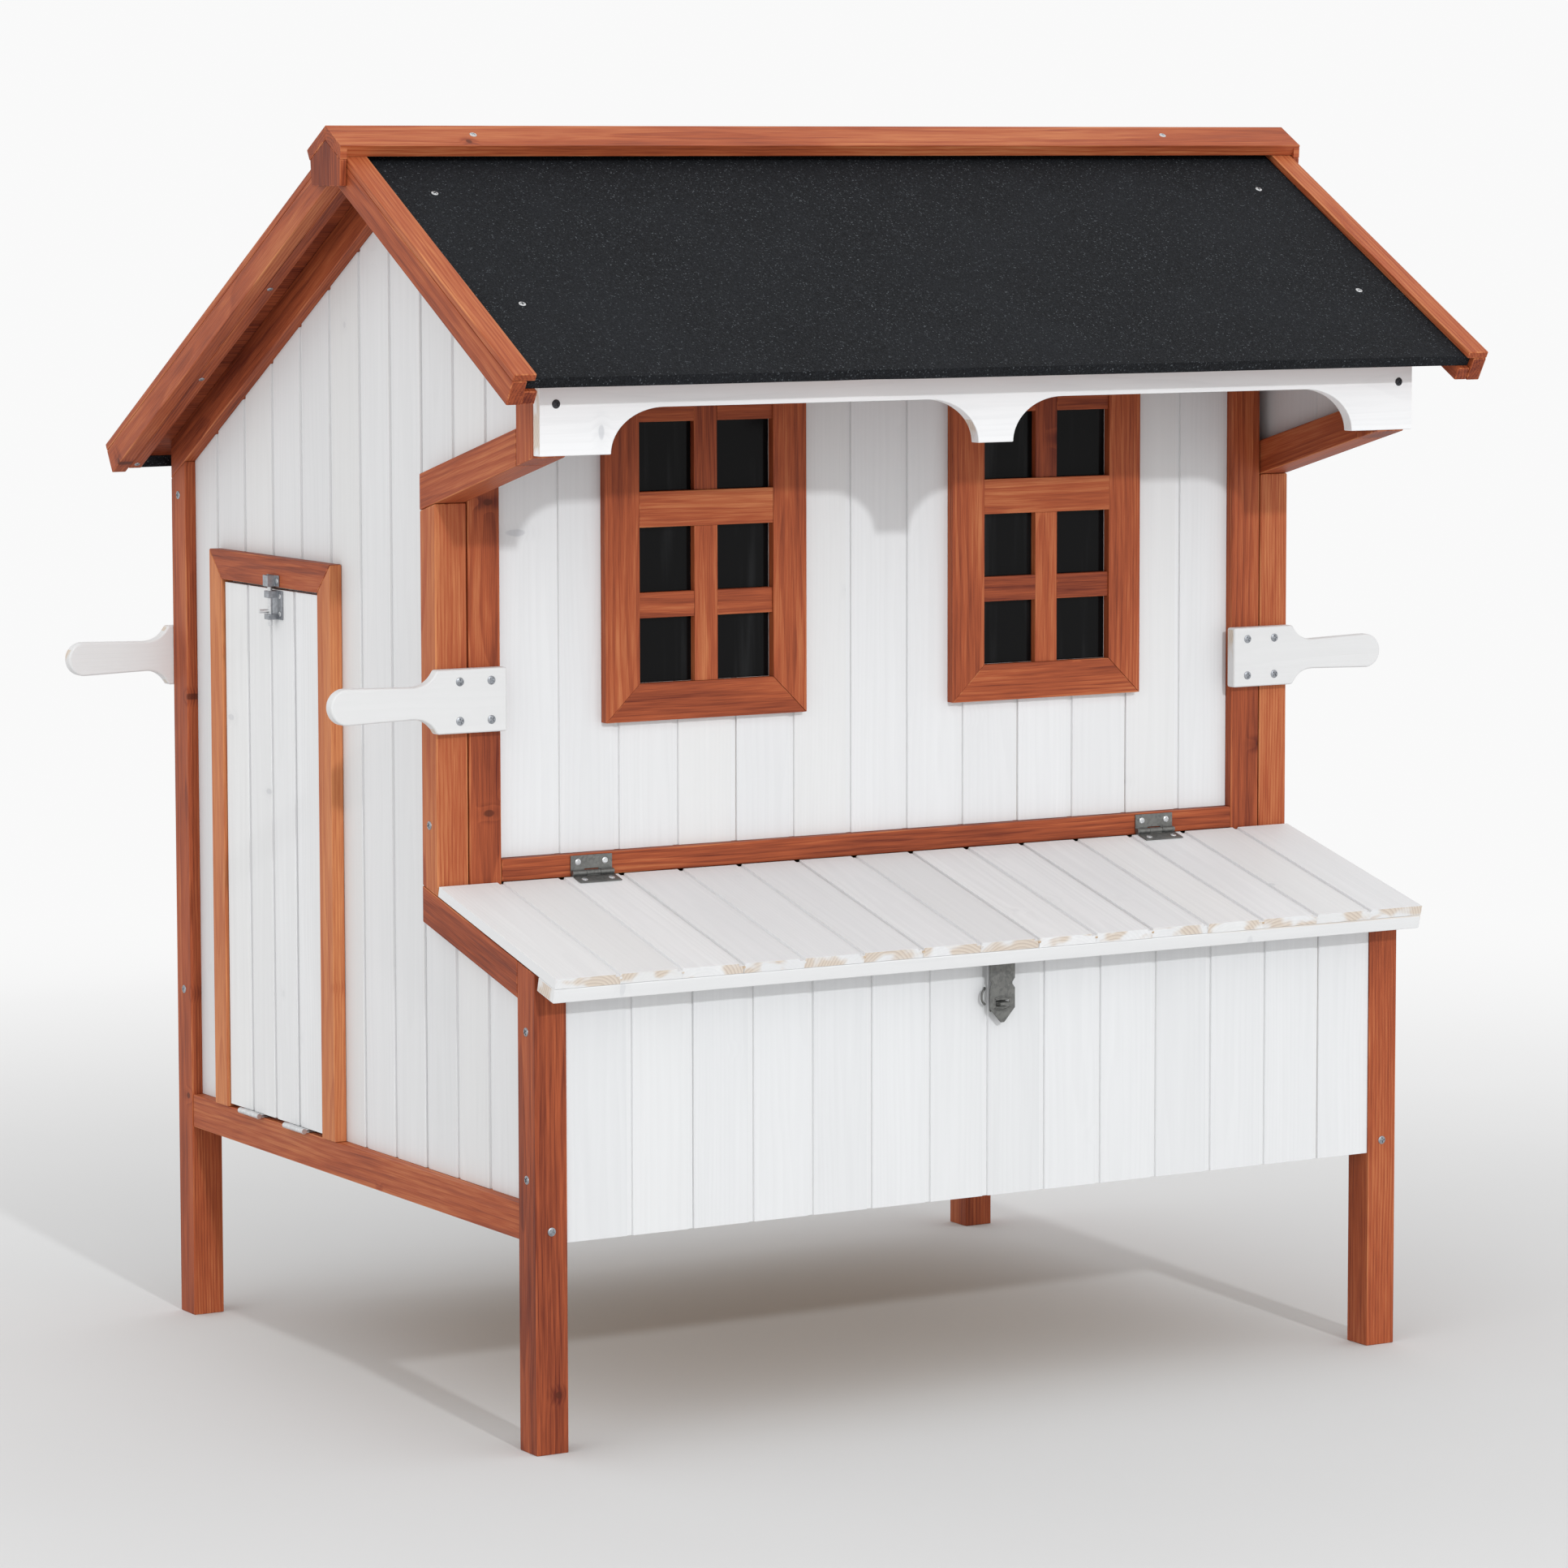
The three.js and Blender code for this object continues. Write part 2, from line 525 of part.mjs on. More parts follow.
// The ramp door's hinges lie on the bottom rail, with the pin outside the wall and both leaves
// level: the rail's leaf under the door's leaf, the door standing on top.
const doorMiddle = (DOOR.y0 + DOOR.y1) / 2;
[-53, 53].forEach((offset, index) => {
  const y = doorMiddle + offset;
  const lower = add(`ramp_hinge_frame_${index + 1}`, swingLeaf(HINGE.width, HINGE.leaf, 0.4), zinc);
  const upper = add(`ramp_hinge_leaf_${index + 1}`, rampLeaf(), zinc);
  for (const leaf of [lower, upper]) {
    leaf.position.set(DOOR_PIVOT.x, y, DOOR_PIVOT.z);
    leaf.rotation.z = Math.PI / 2;
  }
});

function rampLeaf() {
  const [first, , last] = hingeKnuckles(HINGE.width);
  const half = HINGE.width / 2;
  const plate = block(-half, half, -HINGE.leaf, -HINGE.barrel - 0.6, 0.4, 0.4 + HINGE.thickness);
  const tongue = (span) => block(...span, -HINGE.leaf, 0, 0.4, 0.4 + HINGE.thickness);
  const pin = rodAlong('x', HINGE.pin, -half, half, 0, 0, 12);
  const barrels = [first, last].map((span) => rodAlong('x', HINGE.barrel, ...span, 0, 0, 16));
  return join(plate, tongue(first), tongue(last), ...barrels, pin);
}

// ---------------------------------------------------------------- nest box lid and hasp

// The lid lies in a group tilted about its back top edge: y runs up the slope, z is its normal.
const lid = new THREE.Group();
lid.position.set(0, LID.backY, LID.backZ);
lid.rotation.x = PORCH_PITCH;
hutch.add(lid);

const lidLength = (LID.backY - LID.frontY) / COS_PORCH;
const lidPitch = WIDTH / LID.boards;
const lidProfile = boardProfile(0, WIDTH, 0, jointsAt(lidPitch, lidPitch, WIDTH), -1)
  .map(([x, z]) => [x, z < -GROOVE.depth - 1 ? -LID.thickness : z]);
add('lid_boards', alongY(lidProfile, -lidLength, 0), whitewash, lid);
add('lid_batten', block(0, WIDTH, -lidLength, -lidLength + LID_BATTEN.depth,
  -LID.thickness - GAP - LID_BATTEN.thickness, -LID.thickness - GAP), whitewash, lid);

// The hasp's leaf is screwed under the batten; its strap hangs from it just before the boards.
const haspPivot = {
  y: LID.frontY + LID_BATTEN.depth * COS_PORCH + 3.5,
  z: lidTop(LID.frontY + LID_BATTEN.depth) - (LID.thickness + LID_BATTEN.thickness) / COS_PORCH - 3.8,
};
const haspLeaf = add('hasp_leaf', swingLeaf(HASP.width, HINGE.leaf + 4, -HINGE.barrel), zinc);
haspLeaf.position.set(HASP.x, haspPivot.y, haspPivot.z);
haspLeaf.rotation.x = PORCH_PITCH;

// The strap narrows to a neck, widens again round its slot and ends in a point.
function haspStrap() {
  const half = HASP.width / 2;
  const tip = HASP.tipZ - haspPivot.z;
  const slot = HASP.slotZ - haspPivot.z;
  const shape = outline([
    [-half, -5], [half, -5], [half, -22], [half - 3, -26], [half - 3, -28], [half, -32],
    [half, tip + 14], [2, tip], [-2, tip], [-half, tip + 14], [-half, -32],
    [-half + 1.5, -28], [-half + 1.5, -26], [-half, -22],
  ]);
  const plate = alongY(shape, -HINGE.thickness / 2, HINGE.thickness / 2);
  const opening = block(-8, 8, -4, 4, slot - 3, slot + 3);
  const [first, , last] = hingeKnuckles(HASP.width);
  const tongue = (span) => block(...span, -HINGE.thickness / 2, HINGE.thickness / 2, -6, 0);
  const barrels = [first, last].map((span) => rodAlong('x', HINGE.barrel, ...span, 0, 0, 16));
  const pin = rodAlong('x', HINGE.pin, -half, half, 0, 0, 12);
  return cut(join(plate, tongue(first), tongue(last), ...barrels, pin), opening);
}
add('hasp_strap', haspStrap(), zinc).position.set(HASP.x, haspPivot.y, haspPivot.z);

// A flat staple: a base plate on the boards and a bar that stands out through the strap's slot.
function haspStaple() {
  const face = NEST_FACE - GAP;
  const bar = block(HASP.x - 6, HASP.x + 6, -14, face, HASP.slotZ - 1.5, HASP.slotZ + 1.5);
  const eye = block(HASP.x - 2.5, HASP.x + 2.5, -12, -9.5, 0, RIDGE_Z);
  const base = block(HASP.x - 9, HASP.x + 9, face - 1.2, face, HASP.slotZ - 9, HASP.slotZ + 9);
  return cut(join(base, bar), eye);
}
add('hasp_staple', haspStaple(), zinc);

// ---------------------------------------------------------------- ramp door and its barrel bolt

const doorFrameOuter = {
  y0: DOOR.y0 - DOOR.member, y1: DOOR.y1 + DOOR.member, top: DOOR.top + DOOR.member,
};
add('ramp_door_frame', alongX([
  [doorFrameOuter.y0, FLOOR_TOP + GAP], [DOOR.y0, FLOOR_TOP + GAP], [DOOR.y0, DOOR.top],
  [DOOR.y1, DOOR.top], [DOOR.y1, FLOOR_TOP + GAP], [doorFrameOuter.y1, FLOOR_TOP + GAP],
  [doorFrameOuter.y1, doorFrameOuter.top], [doorFrameOuter.y0, doorFrameOuter.top],
], DOOR_FRAME.outer, DOOR_FRAME.inner), stained);

const DOOR_CLEARANCE = 2.5;
const leafY0 = DOOR.y0 + DOOR_CLEARANCE;
const leafY1 = DOOR.y1 - DOOR_CLEARANCE;
const doorPitch = (leafY1 - leafY0) / DOOR.boards;
const doorJoints = jointsAt(leafY0 + doorPitch, doorPitch, leafY1 - 5);
const doorProfile = boardProfile(leafY0, leafY1, DOOR.face, doorJoints).map(([y, x]) => [x, y]);
const leafBottom = DOOR_PIVOT.z + 0.4 + HINGE.thickness + GAP;
add('ramp_door_boards', alongZ(doorProfile, leafBottom, DOOR.top - 2.7), whitewash);

// The bolt's rod slides up through two guides on the door and into a loop on the frame. It is
// drawn withdrawn, resting with its tip just below the loop.
const guide = (z0, z1, back) => block(-10, back, BOLT.y - 5, BOLT.y + 5, z0, z1);
const BODY_Z = { bottom: 753, lower: 758.5, upper: 775, top: 782 };
const bodyBack = DOOR.face - GAP;
const bodyBore = rodAlong('z', BOLT.bore, BODY_Z.bottom - 5, BODY_Z.top + 5, BOLT.x, BOLT.y);
add('bolt_body', cut(join(
  block(bodyBack - 1.2, bodyBack, BOLT.y - 16, BOLT.y + 16, BODY_Z.bottom, BODY_Z.top),
  guide(BODY_Z.bottom, BODY_Z.lower, bodyBack), guide(BODY_Z.upper, BODY_Z.top, bodyBack),
), bodyBore), zinc);

const keeperBack = DOOR_FRAME.outer - GAP;
const KEEPER = { bottom: 786.5, top: 798, flange: 14, loop: 5.6, wall: 1.4, depth: 9.2, plate: 1 };
const loopFront = keeperBack - KEEPER.depth;
add('bolt_keeper', cut(join(
  block(keeperBack - KEEPER.plate, keeperBack, BOLT.y - KEEPER.flange, BOLT.y + KEEPER.flange,
    KEEPER.bottom, KEEPER.top),
  block(loopFront, keeperBack, BOLT.y - KEEPER.loop, BOLT.y + KEEPER.loop, KEEPER.bottom, KEEPER.top),
), block(loopFront + KEEPER.wall, keeperBack - KEEPER.plate, BOLT.y - KEEPER.loop + KEEPER.wall,
  BOLT.y + KEEPER.loop - KEEPER.wall, KEEPER.bottom - 1, KEEPER.top + 1)), zinc);

const KNOB = { z: BODY_Z.lower + 3, radius: 2, reach: 12 };
const ROD_TAIL = 15;
add('bolt_rod', join(
  rodAlong('z', BOLT.rod, KNOB.z - ROD_TAIL, KEEPER.bottom - BOLT.clearance, BOLT.x, BOLT.y),
  rodAlong('x', KNOB.radius, BOLT.x - KNOB.reach, BOLT.x, BOLT.y, KNOB.z, 12),
), zinc);

export default hutch;
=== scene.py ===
import math
import random

import bmesh
import bpy
from mathutils import Matrix, Quaternion, Vector, noise


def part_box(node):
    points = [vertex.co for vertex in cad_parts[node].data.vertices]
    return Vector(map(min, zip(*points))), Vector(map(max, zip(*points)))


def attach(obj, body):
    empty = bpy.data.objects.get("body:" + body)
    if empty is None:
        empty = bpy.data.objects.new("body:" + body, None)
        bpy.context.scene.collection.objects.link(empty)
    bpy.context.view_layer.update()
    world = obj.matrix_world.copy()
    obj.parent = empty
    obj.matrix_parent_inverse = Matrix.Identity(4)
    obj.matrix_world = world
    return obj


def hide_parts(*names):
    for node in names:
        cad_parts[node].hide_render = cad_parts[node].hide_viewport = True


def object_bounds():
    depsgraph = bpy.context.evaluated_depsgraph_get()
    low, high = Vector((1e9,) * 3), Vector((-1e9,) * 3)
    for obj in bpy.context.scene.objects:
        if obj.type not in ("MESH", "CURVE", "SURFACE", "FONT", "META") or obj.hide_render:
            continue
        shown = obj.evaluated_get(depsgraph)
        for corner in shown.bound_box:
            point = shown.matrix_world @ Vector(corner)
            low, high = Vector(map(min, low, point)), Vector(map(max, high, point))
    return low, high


# The looks of a raised cottage hutch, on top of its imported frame. Metres, front towards -Y, +Z up.
# Every wooden CAD solid is sawn into the boards and timbers that it stands for, each with rounded
# arrises and a grain of its own; metalwork keeps its CAD shape with its edges broken.

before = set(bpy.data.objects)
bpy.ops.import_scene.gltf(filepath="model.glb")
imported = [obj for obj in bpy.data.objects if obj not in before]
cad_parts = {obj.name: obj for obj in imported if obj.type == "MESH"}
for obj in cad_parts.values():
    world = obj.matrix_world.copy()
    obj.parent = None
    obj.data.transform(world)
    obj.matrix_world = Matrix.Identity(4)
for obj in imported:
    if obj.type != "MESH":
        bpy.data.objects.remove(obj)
cad_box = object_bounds()

# ---------------------------------------- sizes and directions

MM = 0.001
ROOF = math.radians(30)
PORCH = math.radians(14.5)
X, Y, Z = Vector((1, 0, 0)), Vector((0, 1, 0)), Vector((0, 0, 1))
UP_FRONT = Vector((0, math.cos(ROOF), math.sin(ROOF)))        # up the front roof slope
UP_BACK = Vector((0, -math.cos(ROOF), math.sin(ROOF)))        # up the back roof slope
UP_PORCH = Vector((0, math.cos(PORCH), math.sin(PORCH)))      # up the lid and the nest rails
DOWN_BRACE = Vector((0, math.cos(PORCH), -math.sin(PORCH)))   # down the braces, towards the back
UP_SLOPES = {"front": UP_FRONT, "back": UP_BACK}

WELD = 0.01 * MM
CUT_MERGE = 0.001 * MM         # corners that a saw cut leaves closer than this are one
SAME_LEVEL = 0.02 * MM         # corners closer than this along an axis are at one level
JOINT_MATCH = 0.05 * MM        # how exactly a channel's corners fall on its pattern
FLAT = math.radians(0.4)       # facets that meet at less than this are one face
SAW_GAP = 0.15 * MM            # half of the hairline between two timbers that meet
GROOVE_HALF, GROOVE_FLOOR = 3.4 * MM, 2.8 * MM
ARRIS = 1.0 * MM               # rounding of timber edges
BOARD_ARRIS = 0.12 * MM
STILE_ARRIS = 1.6 * MM
WINDOW_ARRIS = 0.7 * MM
CLEAT_ARRIS = 1.2 * MM
TONGUE_ARRIS = 0.1 * MM
STILE_SLIT = 1.0 * MM          # open joint between the two stiles beside the front wall
HANDLE_ARRIS = 2.0 * MM
METAL_ARRIS = 0.25 * MM
SHARP = math.radians(25)       # wooden edges sharper than this are rounded
METAL_SHARP = math.radians(40)
SMOOTH = math.radians(42)      # faces that meet at less than this shade as one surface
FACING = 0.8                   # how squarely a face looks along a direction to count as facing it

SIDES = {"left": -X, "right": X}
rng = random.Random(7)


def upward(direction):
    """The direction or its opposite, whichever points up."""
    return direction if direction.z > 0 else -direction


# ---------------------------------------- sawing the CAD solids

def solid(node):
    """The node's CAD shape as a new bmesh with whole faces."""
    bm = bmesh.new()
    bm.from_mesh(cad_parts[node].data)
    bmesh.ops.remove_doubles(bm, verts=bm.verts, dist=WELD)
    bmesh.ops.dissolve_limit(bm, angle_limit=FLAT, verts=bm.verts, edges=bm.edges)
    return bm


def saw(bm, point, normal):
    """Cuts away what lies beyond a plane, on the side its normal points to, and closes the cut."""
    parts = bm.verts[:] + bm.edges[:] + bm.faces[:]
    bmesh.ops.bisect_plane(bm, geom=parts, dist=CUT_MERGE, plane_co=point, plane_no=normal, clear_outer=True)
    bmesh.ops.remove_doubles(bm, verts=bm.verts, dist=CUT_MERGE)
    rim = [e for e in bm.edges if e.is_boundary]
    if rim:
        bmesh.ops.holes_fill(bm, edges=rim, sides=0)
    return bm


def between(bm, axis, low, high, gap=SAW_GAP):
    """Keeps the stretch of a solid between two places along an axis, less the gap at each cut."""
    if low is not None:
        saw(bm, axis * (low + gap), -axis)
    if high is not None:
        saw(bm, axis * (high - gap), axis)
    return bm


def levels(node, axis):
    """The distinct places along an axis where the node's CAD shape has a corner."""
    reach = sorted(v.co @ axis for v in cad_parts[node].data.vertices)
    return [b for a, b in zip([reach[0] - 1] + reach, reach) if b - a > SAME_LEVEL]


def board_joints(node, axis):
    """Where the channels between boards run: each shows as four corners in a known pattern."""
    places = levels(node, axis)

    def cornered(place):
        return any(abs(place - p) < JOINT_MATCH for p in places)

    middles = [p + GROOVE_HALF for p in places]
    offsets = (-GROOVE_FLOOR, GROOVE_FLOOR, GROOVE_HALF)
    return [m for m in middles if all(cornered(m + offset) for offset in offsets)]


# ---------------------------------------- dressing one length of wood

# How far the pith of its tree lies from a length of wood: along it, across it and below its face.
PITH = ((-20.0, 20.0), (-0.03, 0.03), (0.018, 0.06))
CHANNEL_LIGHT_DEPTHS = (0.3 * MM, 6 * MM)    # below a board's face, where a channel gets the flat colour that is painted light


def dress(bm, along, out, tone, arris=ARRIS, bare_back=False, face=None, channel_light=0.0, bare=False):
    """Rounds the edges of one length of wood and notes, for its material, how its grain runs, its
    tone, and which faces are edges, sawn ends, unpainted, or in a channel and so take painted light."""
    bmesh.ops.recalc_face_normals(bm, faces=bm.faces)
    edges = [e for e in bm.edges if len(e.link_faces) == 2 and e.calc_face_angle(0) > SHARP]
    rounded = bmesh.ops.bevel(bm, geom=edges, offset=arris, segments=2, profile=0.5,
                              affect="EDGES", clamp_overlap=True)
    arrises = set(rounded["faces"])
    across = out.cross(along).normalized()
    middle = sum((v.co for v in bm.verts), Vector()) / len(bm.verts)
    pith = Vector([rng.uniform(*reach) for reach in PITH])
    grain = bm.verts.layers.float_vector.new("grain")
    tones = bm.verts.layers.float.new("tone")
    marks = {name: bm.loops.layers.float.new(name) for name in ("edge", "end", "bare", "channel_light")}
    for v in bm.verts:
        p = v.co - middle
        v[grain] = pith + Vector((p @ along, p @ across, p @ out))
        v[tones] = tone
    for facet in bm.faces:
        flat = facet not in arrises
        is_end = flat and abs(facet.normal @ along) > FACING
        is_bare = bare or bare_back and facet.normal @ out < -FACING
        # Faces in a channel get the flat channel colour: painted light that evens out the shade there.
        depth = 0.0 if face is None else face - facet.calc_center_median() @ out
        in_channel = CHANNEL_LIGHT_DEPTHS[0] < depth < CHANNEL_LIGHT_DEPTHS[1] and not is_end
        for loop in facet.loops:
            loop[marks["edge"]] = 0.0 if flat else 1.0
            loop[marks["end"]] = 1.0 if is_end else 0.0
            loop[marks["bare"]] = 1.0 if is_bare else 0.0
            loop[marks["channel_light"]] = channel_light if in_channel else 0.0
    return bm


def gather(parts):
    """Several solids as one bmesh."""
    whole = bmesh.new()
    for part in parts:
        mesh = bpy.data.meshes.new("part")
        part.to_mesh(mesh)
        part.free()
        whole.from_mesh(mesh)
        bpy.data.meshes.remove(mesh)
    return whole


def piece(name, parts, body, material, replaces=()):
    """One shown object made of one or more solids, riding on a body."""
    bm = gather(parts)
    mesh = bpy.data.meshes.new(name)
    bm.to_mesh(mesh)
    bm.free()
    mesh.polygons.foreach_set("use_smooth", [True] * len(mesh.polygons))
    mesh.set_sharp_from_angle(angle=SMOOTH)
    mesh.materials.append(material)
    shown = bpy.data.objects.new(name, mesh)
    bpy.context.scene.collection.objects.link(shown)
    weighted = shown.modifiers.new("flat faces stay flat", "WEIGHTED_NORMAL")
    weighted.keep_sharp = True
    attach(shown, body)
    if replaces:
        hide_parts(*replaces)


# ---------------------------------------- node trees

class Shader:
    """A material's node tree, with short calls for the nodes used here."""

    def __init__(self, name):
        self.material = bpy.data.materials.new(name)
        self.material.use_nodes = True
        self.tree = self.material.node_tree
        self.surface = self.tree.nodes["Principled BSDF"]

    def feed(self, socket, value):
        """Links a node's output to a socket, or sets the socket to a constant."""
        if isinstance(value, bpy.types.NodeSocket):
            self.tree.links.new(value, socket)
        else:
            socket.default_value = value

    def node(self, kind, inputs=None, **settings):
        made = self.tree.nodes.new("ShaderNode" + kind)
        for key, value in settings.items():
            setattr(made, key, value)
        for key, value in (inputs or {}).items():
            self.feed(made.inputs[key], value)
        return made

    def attribute(self, name):
        return self.node("Attribute", attribute_name=name)

    def amount(self, name):
        return self.attribute(name).outputs["Fac"]

    def math(self, operation, a, b=0.0, clamp=False):
        return self.node("Math", {0: a, 1: b}, operation=operation, use_clamp=clamp).outputs[0]

    def scaled(self, vector, factors):
        return self.node("VectorMath", {0: vector, 1: factors}, operation="MULTIPLY").outputs[0]

    def noise(self, vector, detail=2.0, scale=1.0):
        made = self.node("TexNoise", {"Vector": vector, "Scale": scale, "Detail": detail})
        return made.outputs[0]

    def step(self, value, low, high):
        """Rises smoothly from 0 to 1 as the value goes from low to high."""
        made = self.node("MapRange", {0: value, 1: low, 2: high, 3: 0.0, 4: 1.0},
                         interpolation_type="SMOOTHSTEP")
        return made.outputs[0]

    def blend(self, factor, a, b):
        made = self.node("Mix", {0: factor}, data_type="RGBA")
        self.feed(made.inputs[6], a)
        self.feed(made.inputs[7], b)
        return made.outputs[2]

    def ramp(self, factor, stops):
        made = self.node("ValToRGB", {0: factor})
        elements = made.color_ramp.elements
        while len(elements) < len(stops):
            elements.new(0.5)
        for element, (position, color) in zip(elements, stops):
            element.position = position
            element.color = color
        return made.outputs[0]

    def finish(self, color, roughness, height, relief, **constants):
        """Completes the surface, with bumps as high as the relief where the height is 1."""
        self.feed(self.surface.inputs["Base Color"], color)
        self.feed(self.surface.inputs["Roughness"], roughness)
        for key, value in constants.items():
            self.surface.inputs[key.replace("_", " ")].default_value = value
        bump = self.node("Bump", {"Height": height, "Distance": relief, "Strength": 1.0})
        self.feed(self.surface.inputs["Normal"], bump.outputs[0])
        return self.material


def rgb(red, green, blue):
    return (red, green, blue, 1.0)


# ---------------------------------------- wood

RING = 3.4 * MM                # spacing of growth rings
RING_DRIFT = 14 * MM           # how far the rings wander
RING_BULGE = 2.2 * MM          # how far they bend round a knot
KNOT_RADIUS = 3.2 * MM
KNOT_WOBBLE = 2.2 * MM
KNOT_HALO = 4                  # reach of the darker wood round a knot, in radii of the knot
KNOTS_PER_METRE = 7.0
KNOTLESS = 0.4                 # share of the places for a knot that have none
LIMB_RADIUS = 0.032            # knots are laid out on a cylinder of this radius round the pith
# How often each streak repeats in a metre, along the grain and twice across it.
STREAKS = {"drift": (2.6, 16, 16), "broad": (4, 24, 24), "coarse": (7, 170, 170), "fine": (26, 900, 900)}


def figure(s):
    """The marks that every plank shows: growth rings, coarse and fine streaks, knots."""
    grain = s.attribute("grain").outputs["Vector"]
    split = s.node("SeparateXYZ", {0: grain})
    length, side, depth = split.outputs
    angle = s.math("ARCTAN2", side, depth)
    around = s.math("MULTIPLY", angle, LIMB_RADIUS)
    limb = s.node("CombineXYZ", {0: length, 1: around, 2: 0.0}).outputs[0]
    cells = s.node("TexVoronoi", {"Vector": limb, "Scale": KNOTS_PER_METRE}, voronoi_dimensions="2D")
    to_knot = s.math("DIVIDE", cells.outputs["Distance"], KNOTS_PER_METRE)
    wobble = s.noise(s.scaled(grain, (90, 90, 90)), 1.0)
    to_knot = s.math("ADD", to_knot, s.math("MULTIPLY", s.math("SUBTRACT", wobble, 0.5), KNOT_WOBBLE))
    pick = s.node("SeparateXYZ", {0: cells.outputs["Color"]}).outputs[0]
    present = s.math("GREATER_THAN", pick, KNOTLESS)
    knot = s.math("MULTIPLY", s.step(to_knot, KNOT_RADIUS * 1.25, KNOT_RADIUS * 0.75), present)
    halo = s.math("MULTIPLY", s.step(to_knot, KNOT_RADIUS * KNOT_HALO, KNOT_RADIUS), present)
    radius = s.node("VectorMath", {0: s.scaled(grain, (0, 1, 1))}, operation="LENGTH").outputs["Value"]
    drift = s.noise(s.scaled(grain, STREAKS["drift"]), 2.0)
    radius = s.math("ADD", radius, s.math("MULTIPLY", drift, RING_DRIFT))
    radius = s.math("ADD", radius, s.math("MULTIPLY", halo, RING_BULGE))
    phase = s.math("FRACT", s.math("DIVIDE", radius, RING))
    late = s.math("MULTIPLY", s.step(phase, 0.25, 0.9), s.step(phase, 1.0, 0.92))
    broad = s.noise(s.scaled(grain, STREAKS["broad"]), 2.0)
    coarse = s.noise(s.scaled(grain, STREAKS["coarse"]), 3.0)
    fine = s.noise(s.scaled(grain, STREAKS["fine"]), 2.0)
    return late, broad, coarse, fine, knot, halo


STAINED = {"dark": rgb(0.11, 0.015, 0.007), "middle": rgb(0.375, 0.084, 0.029),
           "light": rgb(0.605, 0.232, 0.092), "knot": rgb(0.085, 0.016, 0.006)}
UPTAKE = {"broad": 0.80, "coarse": 0.50, "fine": 0.62}     # how much each streak changes the shade


def stained_wood():
    """Planed pine under a translucent red-brown stain."""
    s = Shader("stain")
    late, broad, coarse, fine, knot, halo = figure(s)
    # A timber's tone is its own, at random or as given, save at the top of each window, where a darker tone
    # is painted shade.
    shade = s.amount("tone")
    for streak, amount in zip((broad, coarse, fine), UPTAKE.values()):
        shade = s.math("ADD", shade, s.math("MULTIPLY", s.math("SUBTRACT", streak, 0.5), amount))
    shade = s.math("SUBTRACT", shade, s.math("MULTIPLY", late, s.math("MULTIPLY", broad, 0.30)))
    shade = s.math("SUBTRACT", shade, s.math("MULTIPLY", halo, 0.14))
    worn = s.math("MULTIPLY", s.amount("edge"), s.step(coarse, 0.45, 0.62))
    shade = s.math("ADD", shade, s.math("MULTIPLY", worn, 0.25))
    shade = s.math("SUBTRACT", shade, s.math("MULTIPLY", s.amount("end"), 0.18), clamp=True)
    color = s.ramp(shade, ((0.0, STAINED["dark"]), (0.48, STAINED["middle"]), (1.0, STAINED["light"])))
    color = s.blend(s.math("MULTIPLY", knot, 0.8), color, STAINED["knot"])
    roughness = s.math("ADD", 0.42, s.math("MULTIPLY", coarse, 0.22))
    height = s.math("ADD", s.math("MULTIPLY", fine, 0.8), s.math("MULTIPLY", late, 0.4))
    return s.finish(color, roughness, height, 0.10 * MM, Specular_IOR_Level=0.22)


# The last colour, laid flat over the channels between boards, is painted light that evens out their shade.
PAINTED = {"thick": rgb(0.84, 0.846, 0.854), "even": rgb(0.762, 0.768, 0.777),
           "thin": rgb(0.68, 0.686, 0.695), "knot": rgb(0.42, 0.435, 0.47),
           "yellowed": rgb(0.735, 0.73, 0.712), "channel_light": rgb(0.757, 0.762, 0.768)}
CHIPPED = {"early": rgb(0.66, 0.53, 0.39), "late": rgb(0.44, 0.30, 0.19)}    # the wood that shows
KNOTTED_TONES, YELLOWED_TONES = 3.7, 7.3    # spread the tones, so that only some boards show each


